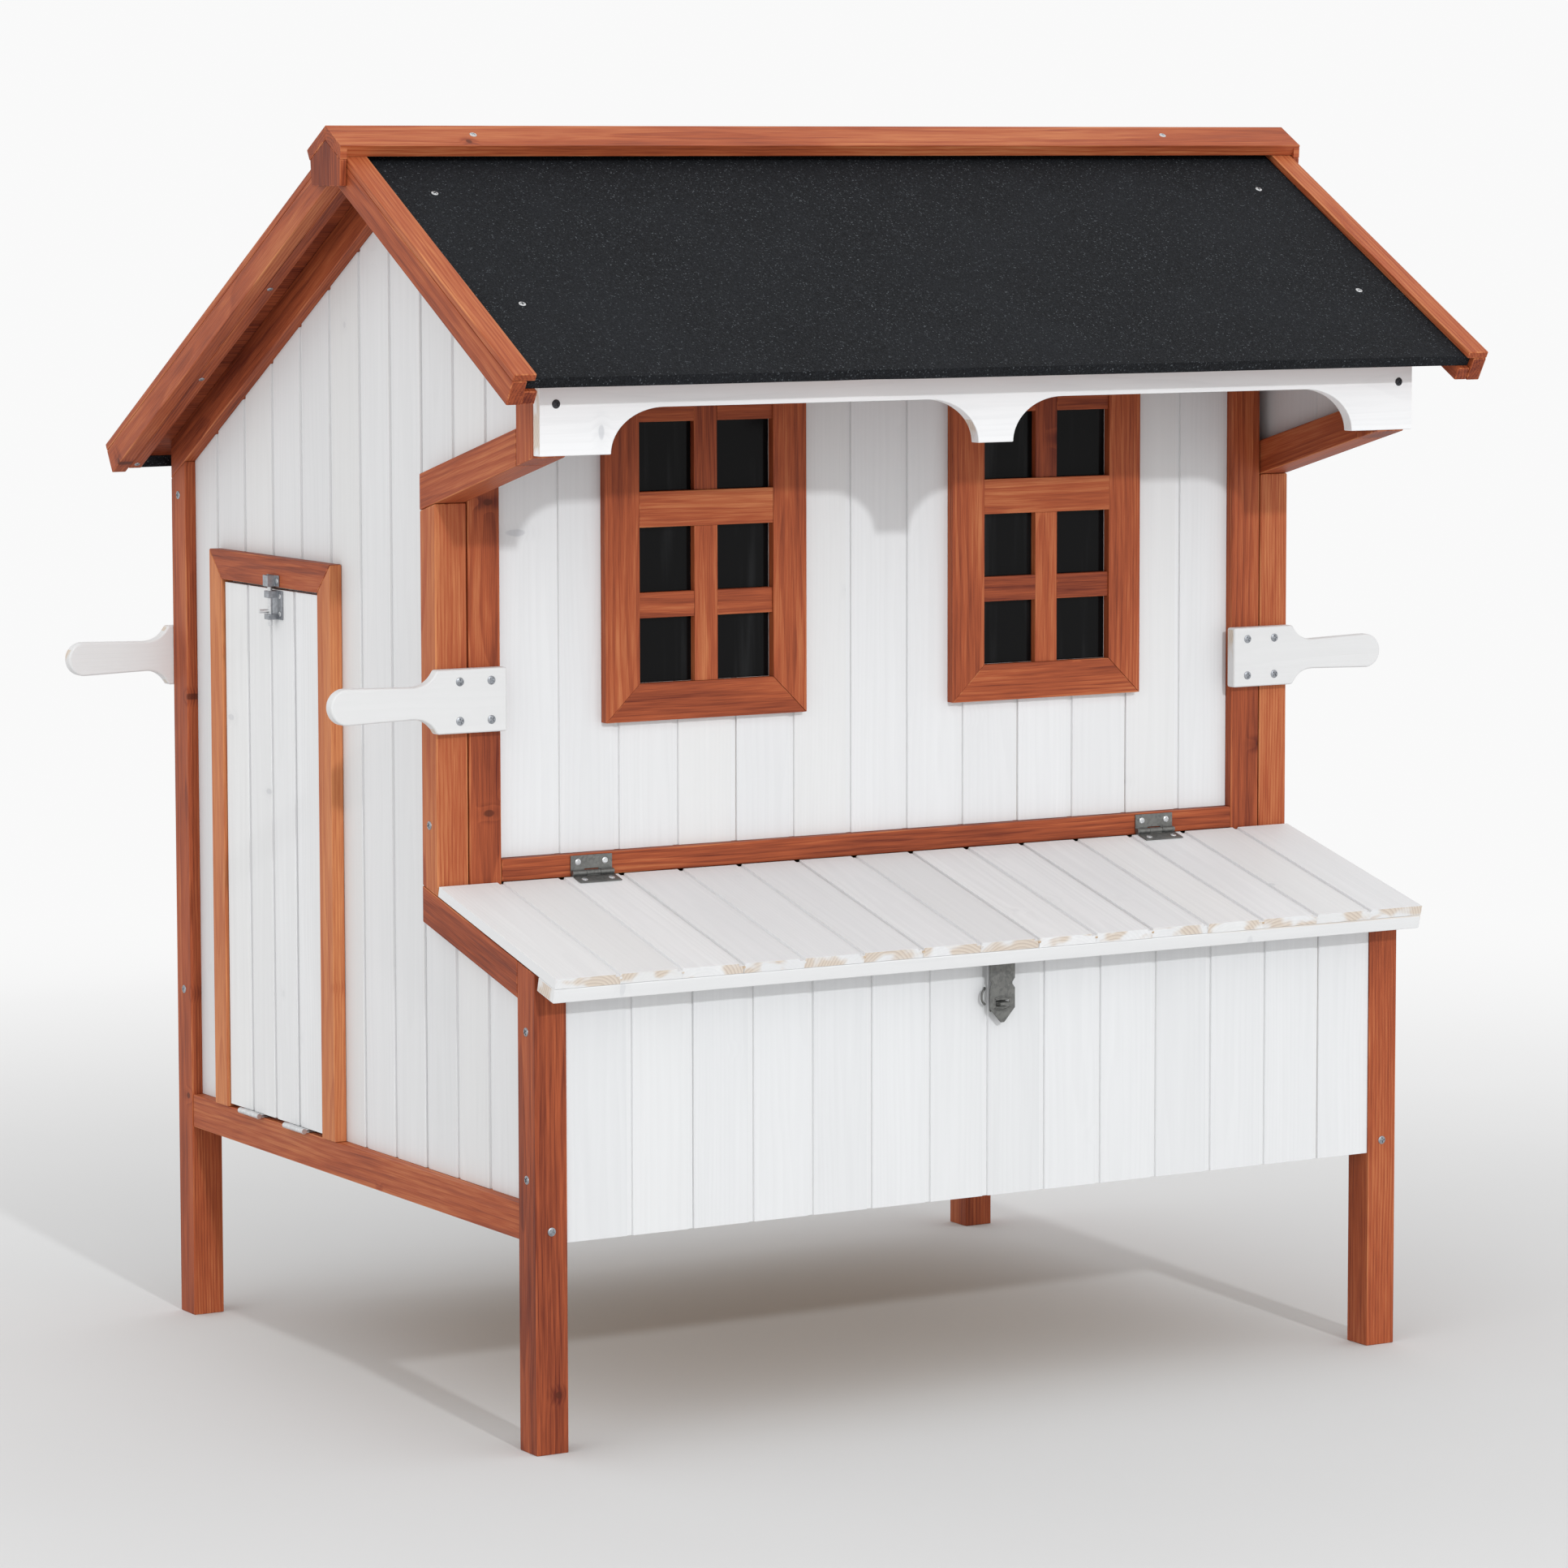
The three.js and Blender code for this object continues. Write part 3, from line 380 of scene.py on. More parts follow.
def painted_wood():
    """White paint over pine: faint grain and knots, bare wood at sawn ends and on inner faces."""
    s = Shader("white_paint")
    late, broad, coarse, fine, knot, halo = figure(s)
    tone = s.amount("tone")
    veil = s.math("ADD", s.math("MULTIPLY", coarse, 0.42), s.math("MULTIPLY", late, 0.10))
    veil = s.math("ADD", veil, s.math("MULTIPLY", broad, 0.25))
    # A board's tone moves it along the ramp: at random for most boards, and as painted light or shade for the
    # valance, the handles, the lid, the nest front and the door.
    veil = s.math("ADD", veil, s.math("MULTIPLY", tone, 0.28))
    paint = s.ramp(veil, ((0.0, PAINTED["thick"]), (0.3, PAINTED["even"]), (0.95, PAINTED["thin"])))
    blots = s.math("ADD", s.math("MULTIPLY", knot, 0.40), s.math("MULTIPLY", halo, 0.08))
    knotted = s.step(s.math("FRACT", s.math("MULTIPLY", tone, KNOTTED_TONES)), 0.2, 0.5)
    paint = s.blend(s.math("MULTIPLY", blots, knotted), paint, PAINTED["knot"])
    yellowing = s.step(s.math("FRACT", s.math("MULTIPLY", tone, YELLOWED_TONES)), 0.5, 1.0)
    paint = s.blend(s.math("MULTIPLY", yellowing, 0.35), paint, PAINTED["yellowed"])
    # Painted light: the channels between boards take one flat colour, which evens out the shade in them.
    paint = s.blend(s.amount("channel_light"), paint, PAINTED["channel_light"])
    bare = s.ramp(s.math("ADD", s.math("MULTIPLY", late, 0.6), s.math("MULTIPLY", fine, 0.35)),
                  ((0.1, CHIPPED["early"]), (0.9, CHIPPED["late"])))
    patches = s.noise(s.scaled(s.attribute("grain").outputs["Vector"], (1, 24, 40)), 2.0)
    chipped = s.math("MULTIPLY", s.amount("end"), s.math("MULTIPLY", s.step(patches, 0.46, 0.58), 0.65))
    rubbed = s.math("MULTIPLY", s.amount("edge"), s.math("MULTIPLY", s.step(patches, 0.60, 0.70), 0.4))
    shown = s.math("MAXIMUM", s.math("MAXIMUM", chipped, rubbed), s.amount("bare"))
    color = s.blend(shown, paint, bare)
    roughness = s.math("ADD", 0.48, s.math("MULTIPLY", coarse, 0.16))
    height = s.math("ADD", s.math("MULTIPLY", fine, 0.6), s.math("MULTIPLY", late, 0.4))
    return s.finish(color, roughness, height, 0.08 * MM, Specular_IOR_Level=0.4)


def bare_wood():
    """Unpainted softwood, for the floor panel."""
    s = Shader("bare_wood")
    late, _, coarse, fine, knot, _ = figure(s)
    shade = s.math("ADD", s.math("MULTIPLY", late, 0.45), s.math("MULTIPLY", coarse, 0.6), clamp=True)
    color = s.ramp(shade, ((0.1, rgb(0.60, 0.44, 0.28)), (0.9, rgb(0.38, 0.23, 0.12))))
    color = s.blend(knot, color, rgb(0.14, 0.07, 0.035))
    roughness = s.math("ADD", 0.6, s.math("MULTIPLY", fine, 0.2))
    return s.finish(color, roughness, fine, 0.12 * MM, Specular_IOR_Level=0.3)


# ---------------------------------------- felt, metal, panes

def mineral_felt():
    """Black bitumen felt strewn with crushed slate."""
    s = Shader("mineral_felt")
    place = s.node("TexCoord").outputs["Object"]
    grit = s.node("TexVoronoi", {"Vector": place, "Scale": 900.0})
    pick = s.node("SeparateXYZ", {0: grit.outputs["Color"]})
    shade = s.ramp(pick.outputs[0], ((0.0, rgb(0.005, 0.0055, 0.007)), (0.6, rgb(0.010, 0.011, 0.013)),
                                     (0.96, rgb(0.020, 0.022, 0.026)), (1.0, rgb(0.10, 0.11, 0.12))))
    clouds = s.noise(s.scaled(place, (7, 7, 7)), 3.0)
    color = s.blend(s.math("MULTIPLY", s.step(clouds, 0.4, 0.75), 0.35), shade, rgb(0.016, 0.018, 0.022))
    roughness = s.math("ADD", 0.78, s.math("MULTIPLY", pick.outputs[1], 0.18))
    height = s.math("ADD", grit.outputs["Distance"], s.math("MULTIPLY", clouds, 0.5))
    return s.finish(color, roughness, height, 0.5 * MM, Specular_IOR_Level=0.15)


def galvanised(name, dark, light, smooth):
    """Zinc-plated steel with a faint spangle and dull patches."""
    s = Shader(name)
    place = s.node("TexCoord").outputs["Object"]
    spangle = s.node("TexVoronoi", {"Vector": place, "Scale": 380.0})
    facet = s.node("SeparateXYZ", {0: spangle.outputs["Color"]}).outputs[0]
    dull = s.noise(s.scaled(place, (60, 60, 60)), 4.0)
    shade = s.math("ADD", s.math("MULTIPLY", facet, 0.35), s.math("MULTIPLY", dull, 0.65))
    color = s.blend(shade, dark, light)
    roughness = s.math("ADD", smooth, s.math("MULTIPLY", dull, 0.3))
    return s.finish(color, roughness, dull, 0.05 * MM, Metallic=0.85)


def dark_acrylic():
    """A glossy near-black pane with dust, and faint vertical streaks that are wipe marks in its roughness and
    bumps and painted reflections in its colour.
    """
    s = Shader("dark_acrylic")
    place = s.node("TexCoord").outputs["Object"]
    wipes_and_reflections = s.noise(s.scaled(place, (60, 60, 4)), 3.0)
    dust = s.noise(s.scaled(place, (900, 900, 900)), 1.0)
    # The streaks lighten the colour as painted reflections; the dust specks lighten it as dust.
    color = s.ramp(s.math("ADD", s.math("MULTIPLY", s.step(wipes_and_reflections, 0.5, 0.8), 0.6), s.step(dust, 0.76, 0.84)),
                   ((0.0, rgb(0.0035, 0.0035, 0.0038)), (1.0, rgb(0.030, 0.031, 0.033))))
    roughness = s.math("ADD", 0.07, s.math("MULTIPLY", wipes_and_reflections, 0.12))
    return s.finish(color, roughness, wipes_and_reflections, 0.05 * MM, Specular_IOR_Level=0.10)


HORIZON, ZENITH = 0.95, 0.94          # brightness of the sky
FLOOR_FADE = (0.6, 3.4)               # from the middle of the floor, where its painted glow starts and where it is full


def studio_floor():
    """A matt pale floor near the hutch that, further away, gives way to a glow as bright as the sky: painted
    light, which fades out the shadows there.
    """
    s = Shader("studio_floor")
    place = s.node("TexCoord").outputs["Object"]
    clouds = s.noise(s.scaled(place, (1.5, 1.5, 1.5)), 2.0)
    away = s.step(s.node("VectorMath", {0: place}, operation="LENGTH").outputs["Value"], *FLOOR_FADE)
    near = s.ramp(clouds, ((0.3, rgb(0.66, 0.66, 0.66)), (0.7, rgb(0.675, 0.675, 0.675))))
    # Away from the hutch the floor stops reflecting and glows instead, as bright as the sky: painted light.
    color = s.blend(away, near, rgb(0.0, 0.0, 0.0))
    s.surface.inputs["Emission Color"].default_value = rgb(HORIZON, HORIZON, HORIZON)
    s.feed(s.surface.inputs["Emission Strength"], away)
    return s.finish(color, 0.9, clouds, 0.1 * MM, Specular_IOR_Level=0.0)


STAIN = stained_wood()
PAINT = painted_wood()
BARE = bare_wood()
FELT = mineral_felt()
STEEL = galvanised("galvanised", rgb(0.10, 0.102, 0.10), rgb(0.28, 0.28, 0.265), 0.38)
ZINC = galvanised("bright_zinc", rgb(0.52, 0.53, 0.54), rgb(0.82, 0.83, 0.84), 0.20)
SCREW = galvanised("screw_zinc", rgb(0.20, 0.21, 0.23), rgb(0.48, 0.50, 0.53), 0.26)
BLACKENED = galvanised("blackened_screw", rgb(0.03, 0.03, 0.032), rgb(0.09, 0.09, 0.10), 0.40)
PANE = dark_acrylic()


# ---------------------------------------- timbers

TONES = (0.36, 0.66)           # how much stain a timber took up, from dark to light


def stained(node, parts):
    """The stained timbers that one CAD node stands for."""
    piece(node + "_timber", parts, "root", STAIN, [node])


def timber(node, along, out, arris=ARRIS, tone=None):
    """A stained timber that is one CAD node."""
    tone = rng.uniform(*TONES) if tone is None else tone
    stained(node, [dress(solid(node), along, out, tone, arris)])


def gable_timbers(side, out):
    """The legs, rails and stiles at one end of the hutch."""
    timber(f"back_leg_{side}", Z, out)
    timber(f"front_leg_{side}", Z, out, tone=0.37 if side == "left" else 0.48)
    timber(f"bottom_rail_{side}", Y, out, tone=0.60)
    timber(f"nest_rail_{side}", UP_PORCH, out)
    timber(f"porch_stile_{side}", Z, out, arris=STILE_ARRIS, tone=0.64)
    wall_stile = f"wall_stile_{side}"
    narrowed = between(solid(wall_stile), out, None, levels(wall_stile, out)[-1], STILE_SLIT)
    stained(wall_stile, [dress(narrowed, Z, -Y, tone=0.42, arris=STILE_ARRIS)])


def eave_bracket(side, out):
    """The brace that carries the eave and the short block that stands on its end."""
    node = f"eave_bracket_{side}"
    joint = levels(node, Y)[1]
    block = dress(between(solid(node), Y, None, joint), Z, out, tone=0.55)
    brace = dress(between(solid(node), Y, joint, None), DOWN_BRACE, out, tone=0.50)
    stained(node, [block, brace])


def ridge_line():
    """Y of the ridge, under the highest corner of the gable rafters."""
    return max(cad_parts["gable_rafters_left"].data.vertices, key=lambda v: v.co.z).co.y


def gable_rafters(side, out):
    """The two rafters nailed to the gable boards, which meet under the ridge."""
    node = f"gable_rafters_{side}"
    front = dress(between(solid(node), Y, None, ridge_line()), UP_FRONT, out, tone=0.44)
    back = dress(between(solid(node), Y, ridge_line(), None), UP_BACK, out, tone=0.40)
    stained(node, [front, back])


RAKE_STRIP, RAKE_FACE = 7.4 * MM, 15.7 * MM    # thickness of the capping strip and the barge board


def rake(slope, side, out):
    """The barge board at the end of a slope, the rafter behind it and the strip that caps them."""
    node = f"rake_{slope}_{side}"
    up = UP_SLOPES[slope]
    above = upward(out.cross(up))
    top = levels(node, above)[-1]
    face = levels(node, out)[-1]
    strip = dress(saw(solid(node), above * (top - RAKE_STRIP + SAW_GAP), -above), up, above, tone=0.60)
    below = saw(solid(node), above * (top - RAKE_STRIP - SAW_GAP), above)
    board = dress(between(below.copy(), out, face - RAKE_FACE, None), up, out, tone=0.50)
    rafter = dress(between(below, out, None, face - RAKE_FACE), up, out, tone=0.36)
    stained(node, [strip, board, rafter])


RIDGE_THICKNESS = 12 * MM
RIDGE_PLATE = 9 * MM           # far enough in from each end to hold the whole plate


def ridge_cap():
    """Two boards that meet over the ridge and the plate under each end of them."""
    node = "ridge_cap"
    low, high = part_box(node)
    under = Vector((0, ridge_line(), high.z - RIDGE_THICKNESS / math.cos(ROOF)))
    front_normal, back_normal = upward(X.cross(UP_FRONT)), upward(X.cross(UP_BACK))
    lift = Z * SAW_GAP
    parts = []
    for normal, half in ((front_normal, (None, under.y)), (back_normal, (under.y, None))):
        board = saw(solid(node), under + lift, -normal)
        parts.append(dress(between(board, Y, *half), X, normal, tone=0.56))
    for out, end in ((-X, low.x), (X, high.x)):
        plate = saw(saw(solid(node), under - lift, front_normal), under - lift, back_normal)
        saw(plate, Vector((end, 0, 0)) - out * RIDGE_PLATE, -out)
        parts.append(dress(plate, Z, out, tone=0.30))
    stained(node, parts)


GLAZING_BAR_TONES = (0.34, 0.46)


def window_frame(side):
    """A mitred frame, a middle rail and glazing bars, from the levels at which the CAD frame steps."""
    node = f"window_frame_{side}"
    x0, g0, m0, m1, g1, x1 = levels(node, X)
    z0, low0, bar0, bar1, mid0, mid1, bar2, bar3, top1, z1 = levels(node, Z)
    mitre = {}
    for name, corner, inner in (("bl", (x0, z0), (g0, low0)), ("br", (x1, z0), (g1, low0)),
                                ("tl", (x0, z1), (g0, top1)), ("tr", (x1, z1), (g1, top1))):
        line = Vector((inner[0] - corner[0], 0, inner[1] - corner[1])).normalized()
        mitre[name] = (Vector((corner[0], 0, corner[1])), upward(Y.cross(line)))

    def mitred(bm, corners, remove):
        for corner in corners:
            point, up = mitre[corner]
            normal = up if corner[0] == remove else -up
            saw(bm, point - normal * SAW_GAP, normal)
        return bm

    def member(x_span, z_span, along, tone):
        bm = between(between(solid(node), X, *x_span), Z, *z_span)
        return bm, along, tone

    bottom = mitred(between(solid(node), Z, None, low0 + SAW_GAP), ("bl", "br"), "b")
    top = mitred(between(solid(node), Z, top1 - SAW_GAP, None), ("tl", "tr"), "b")
    left = mitred(between(solid(node), X, None, g0 + SAW_GAP), ("bl", "tl"), "t")
    right = mitred(between(solid(node), X, g1 - SAW_GAP, None), ("br", "tr"), "t")
    # The top rail takes a darker tone than the other rails and stiles, and the upper mullion a darker one
    # than the lower: painted shade, for the valance's shadow over the top of each window.
    saw_up = [(bottom, X, 0.46), (top, X, 0.32), (left, Z, 0.50), (right, Z, 0.50)]
    saw_up.append(member((g0, g1), (mid0 - SAW_GAP, mid1 + SAW_GAP), X, 0.62))
    for light, bar, tone in (((low0, mid0), (bar0, bar1), 0.64), ((mid1, top1), (bar2, bar3), 0.34)):
        loose = (bar[0] - SAW_GAP, bar[1] + SAW_GAP)
        saw_up.append(member((m0 - SAW_GAP, m1 + SAW_GAP), light, Z, tone))
        saw_up.append(member((g0, m0), loose, X, rng.uniform(*GLAZING_BAR_TONES)))
        saw_up.append(member((m1, g1), loose, X, rng.uniform(*GLAZING_BAR_TONES)))
    stained(node, [dress(bm, along, -Y, tone, WINDOW_ARRIS) for bm, along, tone in saw_up])


JAMB_TONES = (0.84, 0.92)


def door_frame():
    """Two jambs and a head, mitred where they meet."""
    node = "ramp_door_frame"
    y0, jamb0, jamb1, y1 = levels(node, Y)
    head, top = levels(node, Z)[1:]
    head_board = between(solid(node), Z, head - SAW_GAP, None)
    parts = []
    for outer, inner, span in ((y0, jamb0, (None, jamb0 + SAW_GAP)), (y1, jamb1, (jamb1 - SAW_GAP, None))):
        up = upward(X.cross(Vector((0, inner - outer, head - top)).normalized()))
        corner = Vector((0, outer, top))
        jamb = saw(between(solid(node), Y, *span), corner - up * SAW_GAP, up)
        parts.append(dress(jamb, Z, -X, rng.uniform(*JAMB_TONES)))
        saw(head_board, corner + up * SAW_GAP, -up)
    parts.append(dress(head_board, Y, -X, tone=0.45))
    stained(node, parts)


# ---------------------------------------- walls of boards

# Depths below the face of the boards, and the share of tongues that are bare and of joints that gape.
TONGUE = {"half": 1.5 * MM, "top": 2.7 * MM, "bottom": 5 * MM, "tone": 0.5, "bare": 0.45}
JOINT = {"tight": (0.02 * MM, 0.06 * MM), "open": 0.42 * MM, "opened": 0.25}
UNEVEN = (0.1, 1.0)            # how much of the allowed difference in length each board takes


def wall(node, across, along, out, body="root", bare_back=True, channel_light=1.0, uneven=0.0, tones=(0.0, 1.0)):
    """Tongue-and-groove boards sawn from one CAD sheet: each keeps the channel on its own far side,
    so that a hairline, or here and there an open joint, shows where the next one begins."""
    joints = board_joints(node, across)
    face = levels(node, out)[-1]
    foot = levels(node, along)[0]
    starts = [None] + [j + GROOVE_FLOOR for j in joints]
    ends = starts[1:] + [None]
    parts = []
    for start, end in zip(starts, ends):
        board = solid(node)
        if start is not None:
            gap = JOINT["open"] if rng.random() < JOINT["opened"] else rng.uniform(*JOINT["tight"])
            saw(board, across * (start + gap), -across)
        if end is not None:
            saw(board, across * end, across)
        if uneven:
            saw(board, along * (foot + rng.uniform(*UNEVEN) * uneven), -along)
        parts.append(dress(board, along, out, rng.uniform(*tones), BOARD_ARRIS, bare_back, face, channel_light))
    piece(node + "_planks", parts, body, PAINT, [node])
    tongues = []
    for joint in joints:
        middle = joint + GROOVE_FLOOR
        tongue = between(solid(node), across, middle - TONGUE["half"], middle + TONGUE["half"])
        between(tongue, out, face - TONGUE["bottom"], face - TONGUE["top"])
        is_bare = rng.random() < TONGUE["bare"]
        tongues.append(dress(tongue, along, out, TONGUE["tone"], TONGUE_ARRIS, bare=is_bare))
    piece(node + "_tongues", tongues, body, PAINT)


def painted(node, along, out, tone, body="root", arris=ARRIS):
    """A painted timber that is one CAD node."""
    part = dress(solid(node), along, out, tone, arris)
    piece(node + "_timber", [part], body, PAINT, [node])


CLEATS, CLEAT = 6, (9 * MM, 178 * MM, 16 * MM)
CLEAT_MARGINS = (0.75, 0.75)   # below the first and above the last, in steps between cleats
CLEAT_TONES = (0.3, 0.6)


def ramp_cleats():
    """Battens across the inner face of the door, for a foothold when it is down."""
    low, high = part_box("ramp_door_boards")
    parts = []
    spacing = (high.z - low.z) / (CLEATS - 1 + sum(CLEAT_MARGINS))
    for step in range(CLEATS):
        bm = bmesh.new()
        height = low.z + spacing * (step + CLEAT_MARGINS[0])
        place = Matrix.Translation((high.x + CLEAT[0] / 2, (low.y + high.y) / 2, height))
        bmesh.ops.create_cube(bm, size=1.0, matrix=place @ Matrix.Diagonal((*CLEAT, 1)))
        parts.append(dress(bm, Y, X, rng.uniform(*CLEAT_TONES), CLEAT_ARRIS))
    piece("ramp_cleats", parts, "ramp_door", STAIN)


# ---------------------------------------- roof covering

FELT_CELL = 45 * MM
FELT_RIPPLE = {"height": 0.9 * MM, "waves_per_metre": 9.0, "margin": 2 * FELT_CELL}


def roof_felt(slope):
    """The felt sheet, cut fine enough to ripple a little between its fixings."""
    node = f"roof_felt_{slope}"
    up = UP_SLOPES[slope]
    above = upward(X.cross(up))
    bm = solid(node)
    for axis in (X, up):
        reach = levels(node, axis)
        count = int((reach[-1] - reach[0]) / FELT_CELL)
        for step in range(1, count):
            at = axis * (reach[0] + (reach[-1] - reach[0]) * step / count)
            sheet = bm.verts[:] + bm.edges[:] + bm.faces[:]
            bmesh.ops.bisect_plane(bm, geom=sheet, plane_co=at, plane_no=axis)
    low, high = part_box(node)
    for v in bm.verts:
        inset = min(v.co.x - low.x, high.x - v.co.x)
        room = min(1.0, inset / FELT_RIPPLE["margin"])
        wave = abs(noise.noise(v.co * FELT_RIPPLE["waves_per_metre"]))
        v.co += above * (FELT_RIPPLE["height"] * room * wave)
    bmesh.ops.recalc_face_normals(bm, faces=bm.faces)
    piece(node + "_sheet", [bm], "root", FELT, [node])


# ---------------------------------------- metalwork and screws

def metal(node, body, look=STEEL):
    """A CAD piece of sheet metal or rod with its edges broken."""
    bm = solid(node)
    edges = [e for e in bm.edges if len(e.link_faces) == 2 and e.calc_face_angle(0) > METAL_SHARP]
    bmesh.ops.bevel(bm, geom=edges, offset=METAL_ARRIS, segments=1, affect="EDGES", clamp_overlap=True)
    piece(node + "_steel", [bm], body, look, [node])


# A screw head at size 1. Its reach is half of the length of each arm of the cross.
HEAD = {"radius": 4.3 * MM, "height": 1.2 * MM, "slot": 1.5 * MM, "reach": 2.9 * MM, "depth": 1.1 * MM}
HEAD_SIDES, HEAD_RINGS = 24, 5


def screw_head():
    """A countersunk head with a slightly domed top and a cross recess, its axis along +Z."""
    bm = bmesh.new()
    rings = []
    for ring in range(HEAD_RINGS):
        turn = math.pi / 2 * ring / HEAD_RINGS
        radius, height = HEAD["radius"] * math.cos(turn), HEAD["height"] * math.sin(turn) ** 0.7
        rings.append([bm.verts.new((radius * math.cos(a), radius * math.sin(a), height))
                      for a in (math.tau * k / HEAD_SIDES for k in range(HEAD_SIDES))])
    for lower, upper in zip(rings, rings[1:]):
        for k in range(HEAD_SIDES):
            following = (k + 1) % HEAD_SIDES
            bm.faces.new((lower[k], lower[following], upper[following], upper[k]))
    bm.faces.new(rings[-1])
    bm.faces.new(rings[0][::-1])
    head = bpy.data.objects.new("head", bpy.data.meshes.new("head"))
    bm.to_mesh(head.data)
    cross = bmesh.new()
    for size in ((HEAD["reach"] * 2, HEAD["slot"]), (HEAD["slot"], HEAD["reach"] * 2)):
        place = Matrix.Translation((0, 0, HEAD["height"])) @ Matrix.Diagonal((*size, HEAD["depth"] * 2, 1))
        bmesh.ops.create_cube(cross, size=1.0, matrix=place)
    recess = bpy.data.objects.new("recess", bpy.data.meshes.new("recess"))
    cross.to_mesh(recess.data)
    for made in (head, recess):
        bpy.context.scene.collection.objects.link(made)
    cut = head.modifiers.new("cross", "BOOLEAN")
    cut.object, cut.operation, cut.solver, cut.use_self = recess, "DIFFERENCE", "EXACT", True
    shape = bpy.data.meshes.new_from_object(head.evaluated_get(bpy.context.evaluated_depsgraph_get()))
    for made in (head, recess):
        bpy.data.objects.remove(made)
    bm.free()
    cross.free()
    return shape


SCREW_SHAPE = screw_head()


def screws(name, places, out, body="root", size=1.0, look=SCREW):
    """Screw heads that stand on a face, each turned its own way."""
    whole = bmesh.new()
    stand = out.to_track_quat("Z", "Y").to_matrix().to_4x4()
    for place in places:
        start = len(whole.verts)
        whole.from_mesh(SCREW_SHAPE)
        whole.verts.ensure_lookup_table()
        turn = Matrix.Rotation(rng.uniform(0, math.tau), 4, "Z")
        move = Matrix.Translation(place) @ stand @ turn @ Matrix.Scale(size, 4)
        bmesh.ops.transform(whole, verts=whole.verts[start:], matrix=move)
    piece(name, [whole], body, look)


def grid(xs, ys, zs):
    """Every place that has one of each of these coordinates."""
    return [Vector((x, y, z)) for x in xs for y in ys for z in zs]


HANDLE_SCREWS = {"insets": (17 * MM, 51 * MM), "rise": 19 * MM}


def handle_screws():
    """Four screws through the plate of each handle."""
    for row, out in (("front", -Y), ("back", Y)):
        for side in SIDES:
            low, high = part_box(f"handle_{row}_{side}")
            inner = high.x if side == "left" else low.x
            outward = SIDES[side].x
            xs = [inner + outward * inset for inset in HANDLE_SCREWS["insets"]]
            middle = (low.z + high.z) / 2
            zs = (middle - HANDLE_SCREWS["rise"], middle + HANDLE_SCREWS["rise"])
            face = low.y if row == "front" else high.y
            screws(f"screws_handle_{row}_{side}", grid(xs, (face,), zs), out)


# How far each screw is from the end of the timber, or the middle of the rail, that it is named after.
FRAME_SCREWS = {
    "under_leg_top": 65 * MM, "over_rail_at_leg": 25 * MM, "over_stile_foot": 68 * MM,
    "under_back_leg_top": 36 * MM, "over_rail_at_back_leg": 110 * MM,
    "under_rail_middle": 6 * MM, "under_back_leg_top_behind": 60 * MM,
}


def frame_screws():
    """The screws that hold the legs, rails and stiles together, seen on each gable and on the front."""
    for side, out in SIDES.items():
        leg_low, leg_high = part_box(f"front_leg_{side}")
        back_low, back_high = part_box(f"back_leg_{side}")
        stile_low, stile_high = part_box(f"porch_stile_{side}")
        rail_low, rail_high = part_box(f"bottom_rail_{side}")
        outer = leg_low.x if side == "left" else leg_high.x
        leg_y, back_y, stile_y = ((a.y + b.y) / 2 for a, b in (
            (leg_low, leg_high), (back_low, back_high), (stile_low, stile_high)))
        rail_z = (rail_low.z + rail_high.z) / 2
        heights = ((leg_y, leg_high.z - FRAME_SCREWS["under_leg_top"]),
                   (leg_y, rail_high.z + FRAME_SCREWS["over_rail_at_leg"]),
                   (stile_y, stile_low.z + FRAME_SCREWS["over_stile_foot"]),
                   (back_y, back_high.z - FRAME_SCREWS["under_back_leg_top"]),
                   (back_y, rail_high.z + FRAME_SCREWS["over_rail_at_back_leg"]))
        screws(f"screws_gable_{side}", [Vector((outer, y, z)) for y, z in heights], out)
        leg_x = (leg_low.x + leg_high.x) / 2
        front_z = rail_z - FRAME_SCREWS["under_rail_middle"]
        screws(f"screws_leg_front_{side}", grid((leg_x,), (leg_low.y,), (front_z,)), -Y)
        back_zs = (rail_z, back_high.z - FRAME_SCREWS["under_back_leg_top_behind"])
        screws(f"screws_leg_back_{side}", grid((leg_x,), (back_high.y,), back_zs), Y)


VALANCE_SCREWS = {"inset": 17 * MM, "drop": 38 * MM}


def valance_screws():
    """A dark screw at each end of the valance."""
    low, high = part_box("valance")
    xs = (low.x + VALANCE_SCREWS["inset"], high.x - VALANCE_SCREWS["inset"])
    places = grid(xs, (low.y,), (high.z - VALANCE_SCREWS["drop"],))
    screws("screws_valance", places, -Y, look=BLACKENED)


# Shares are of the length of a slope or the ridge, and insets are from its ends.
FELT_SCREWS = {"up_slope": (0.31, 0.80), "inset": 57 * MM}
RIDGE_SCREWS = {"along": (0.135, 0.855), "down": 18 * MM}
RAKE_SCREWS = {"up_slope": (0.028, 0.326, 0.626), "inset": 22 * MM}
ROOF_HEAD, RAKE_HEAD, HINGE_HEAD, BOLT_HEAD = 0.85, 0.7, 0.75, 0.6    # sizes of their heads


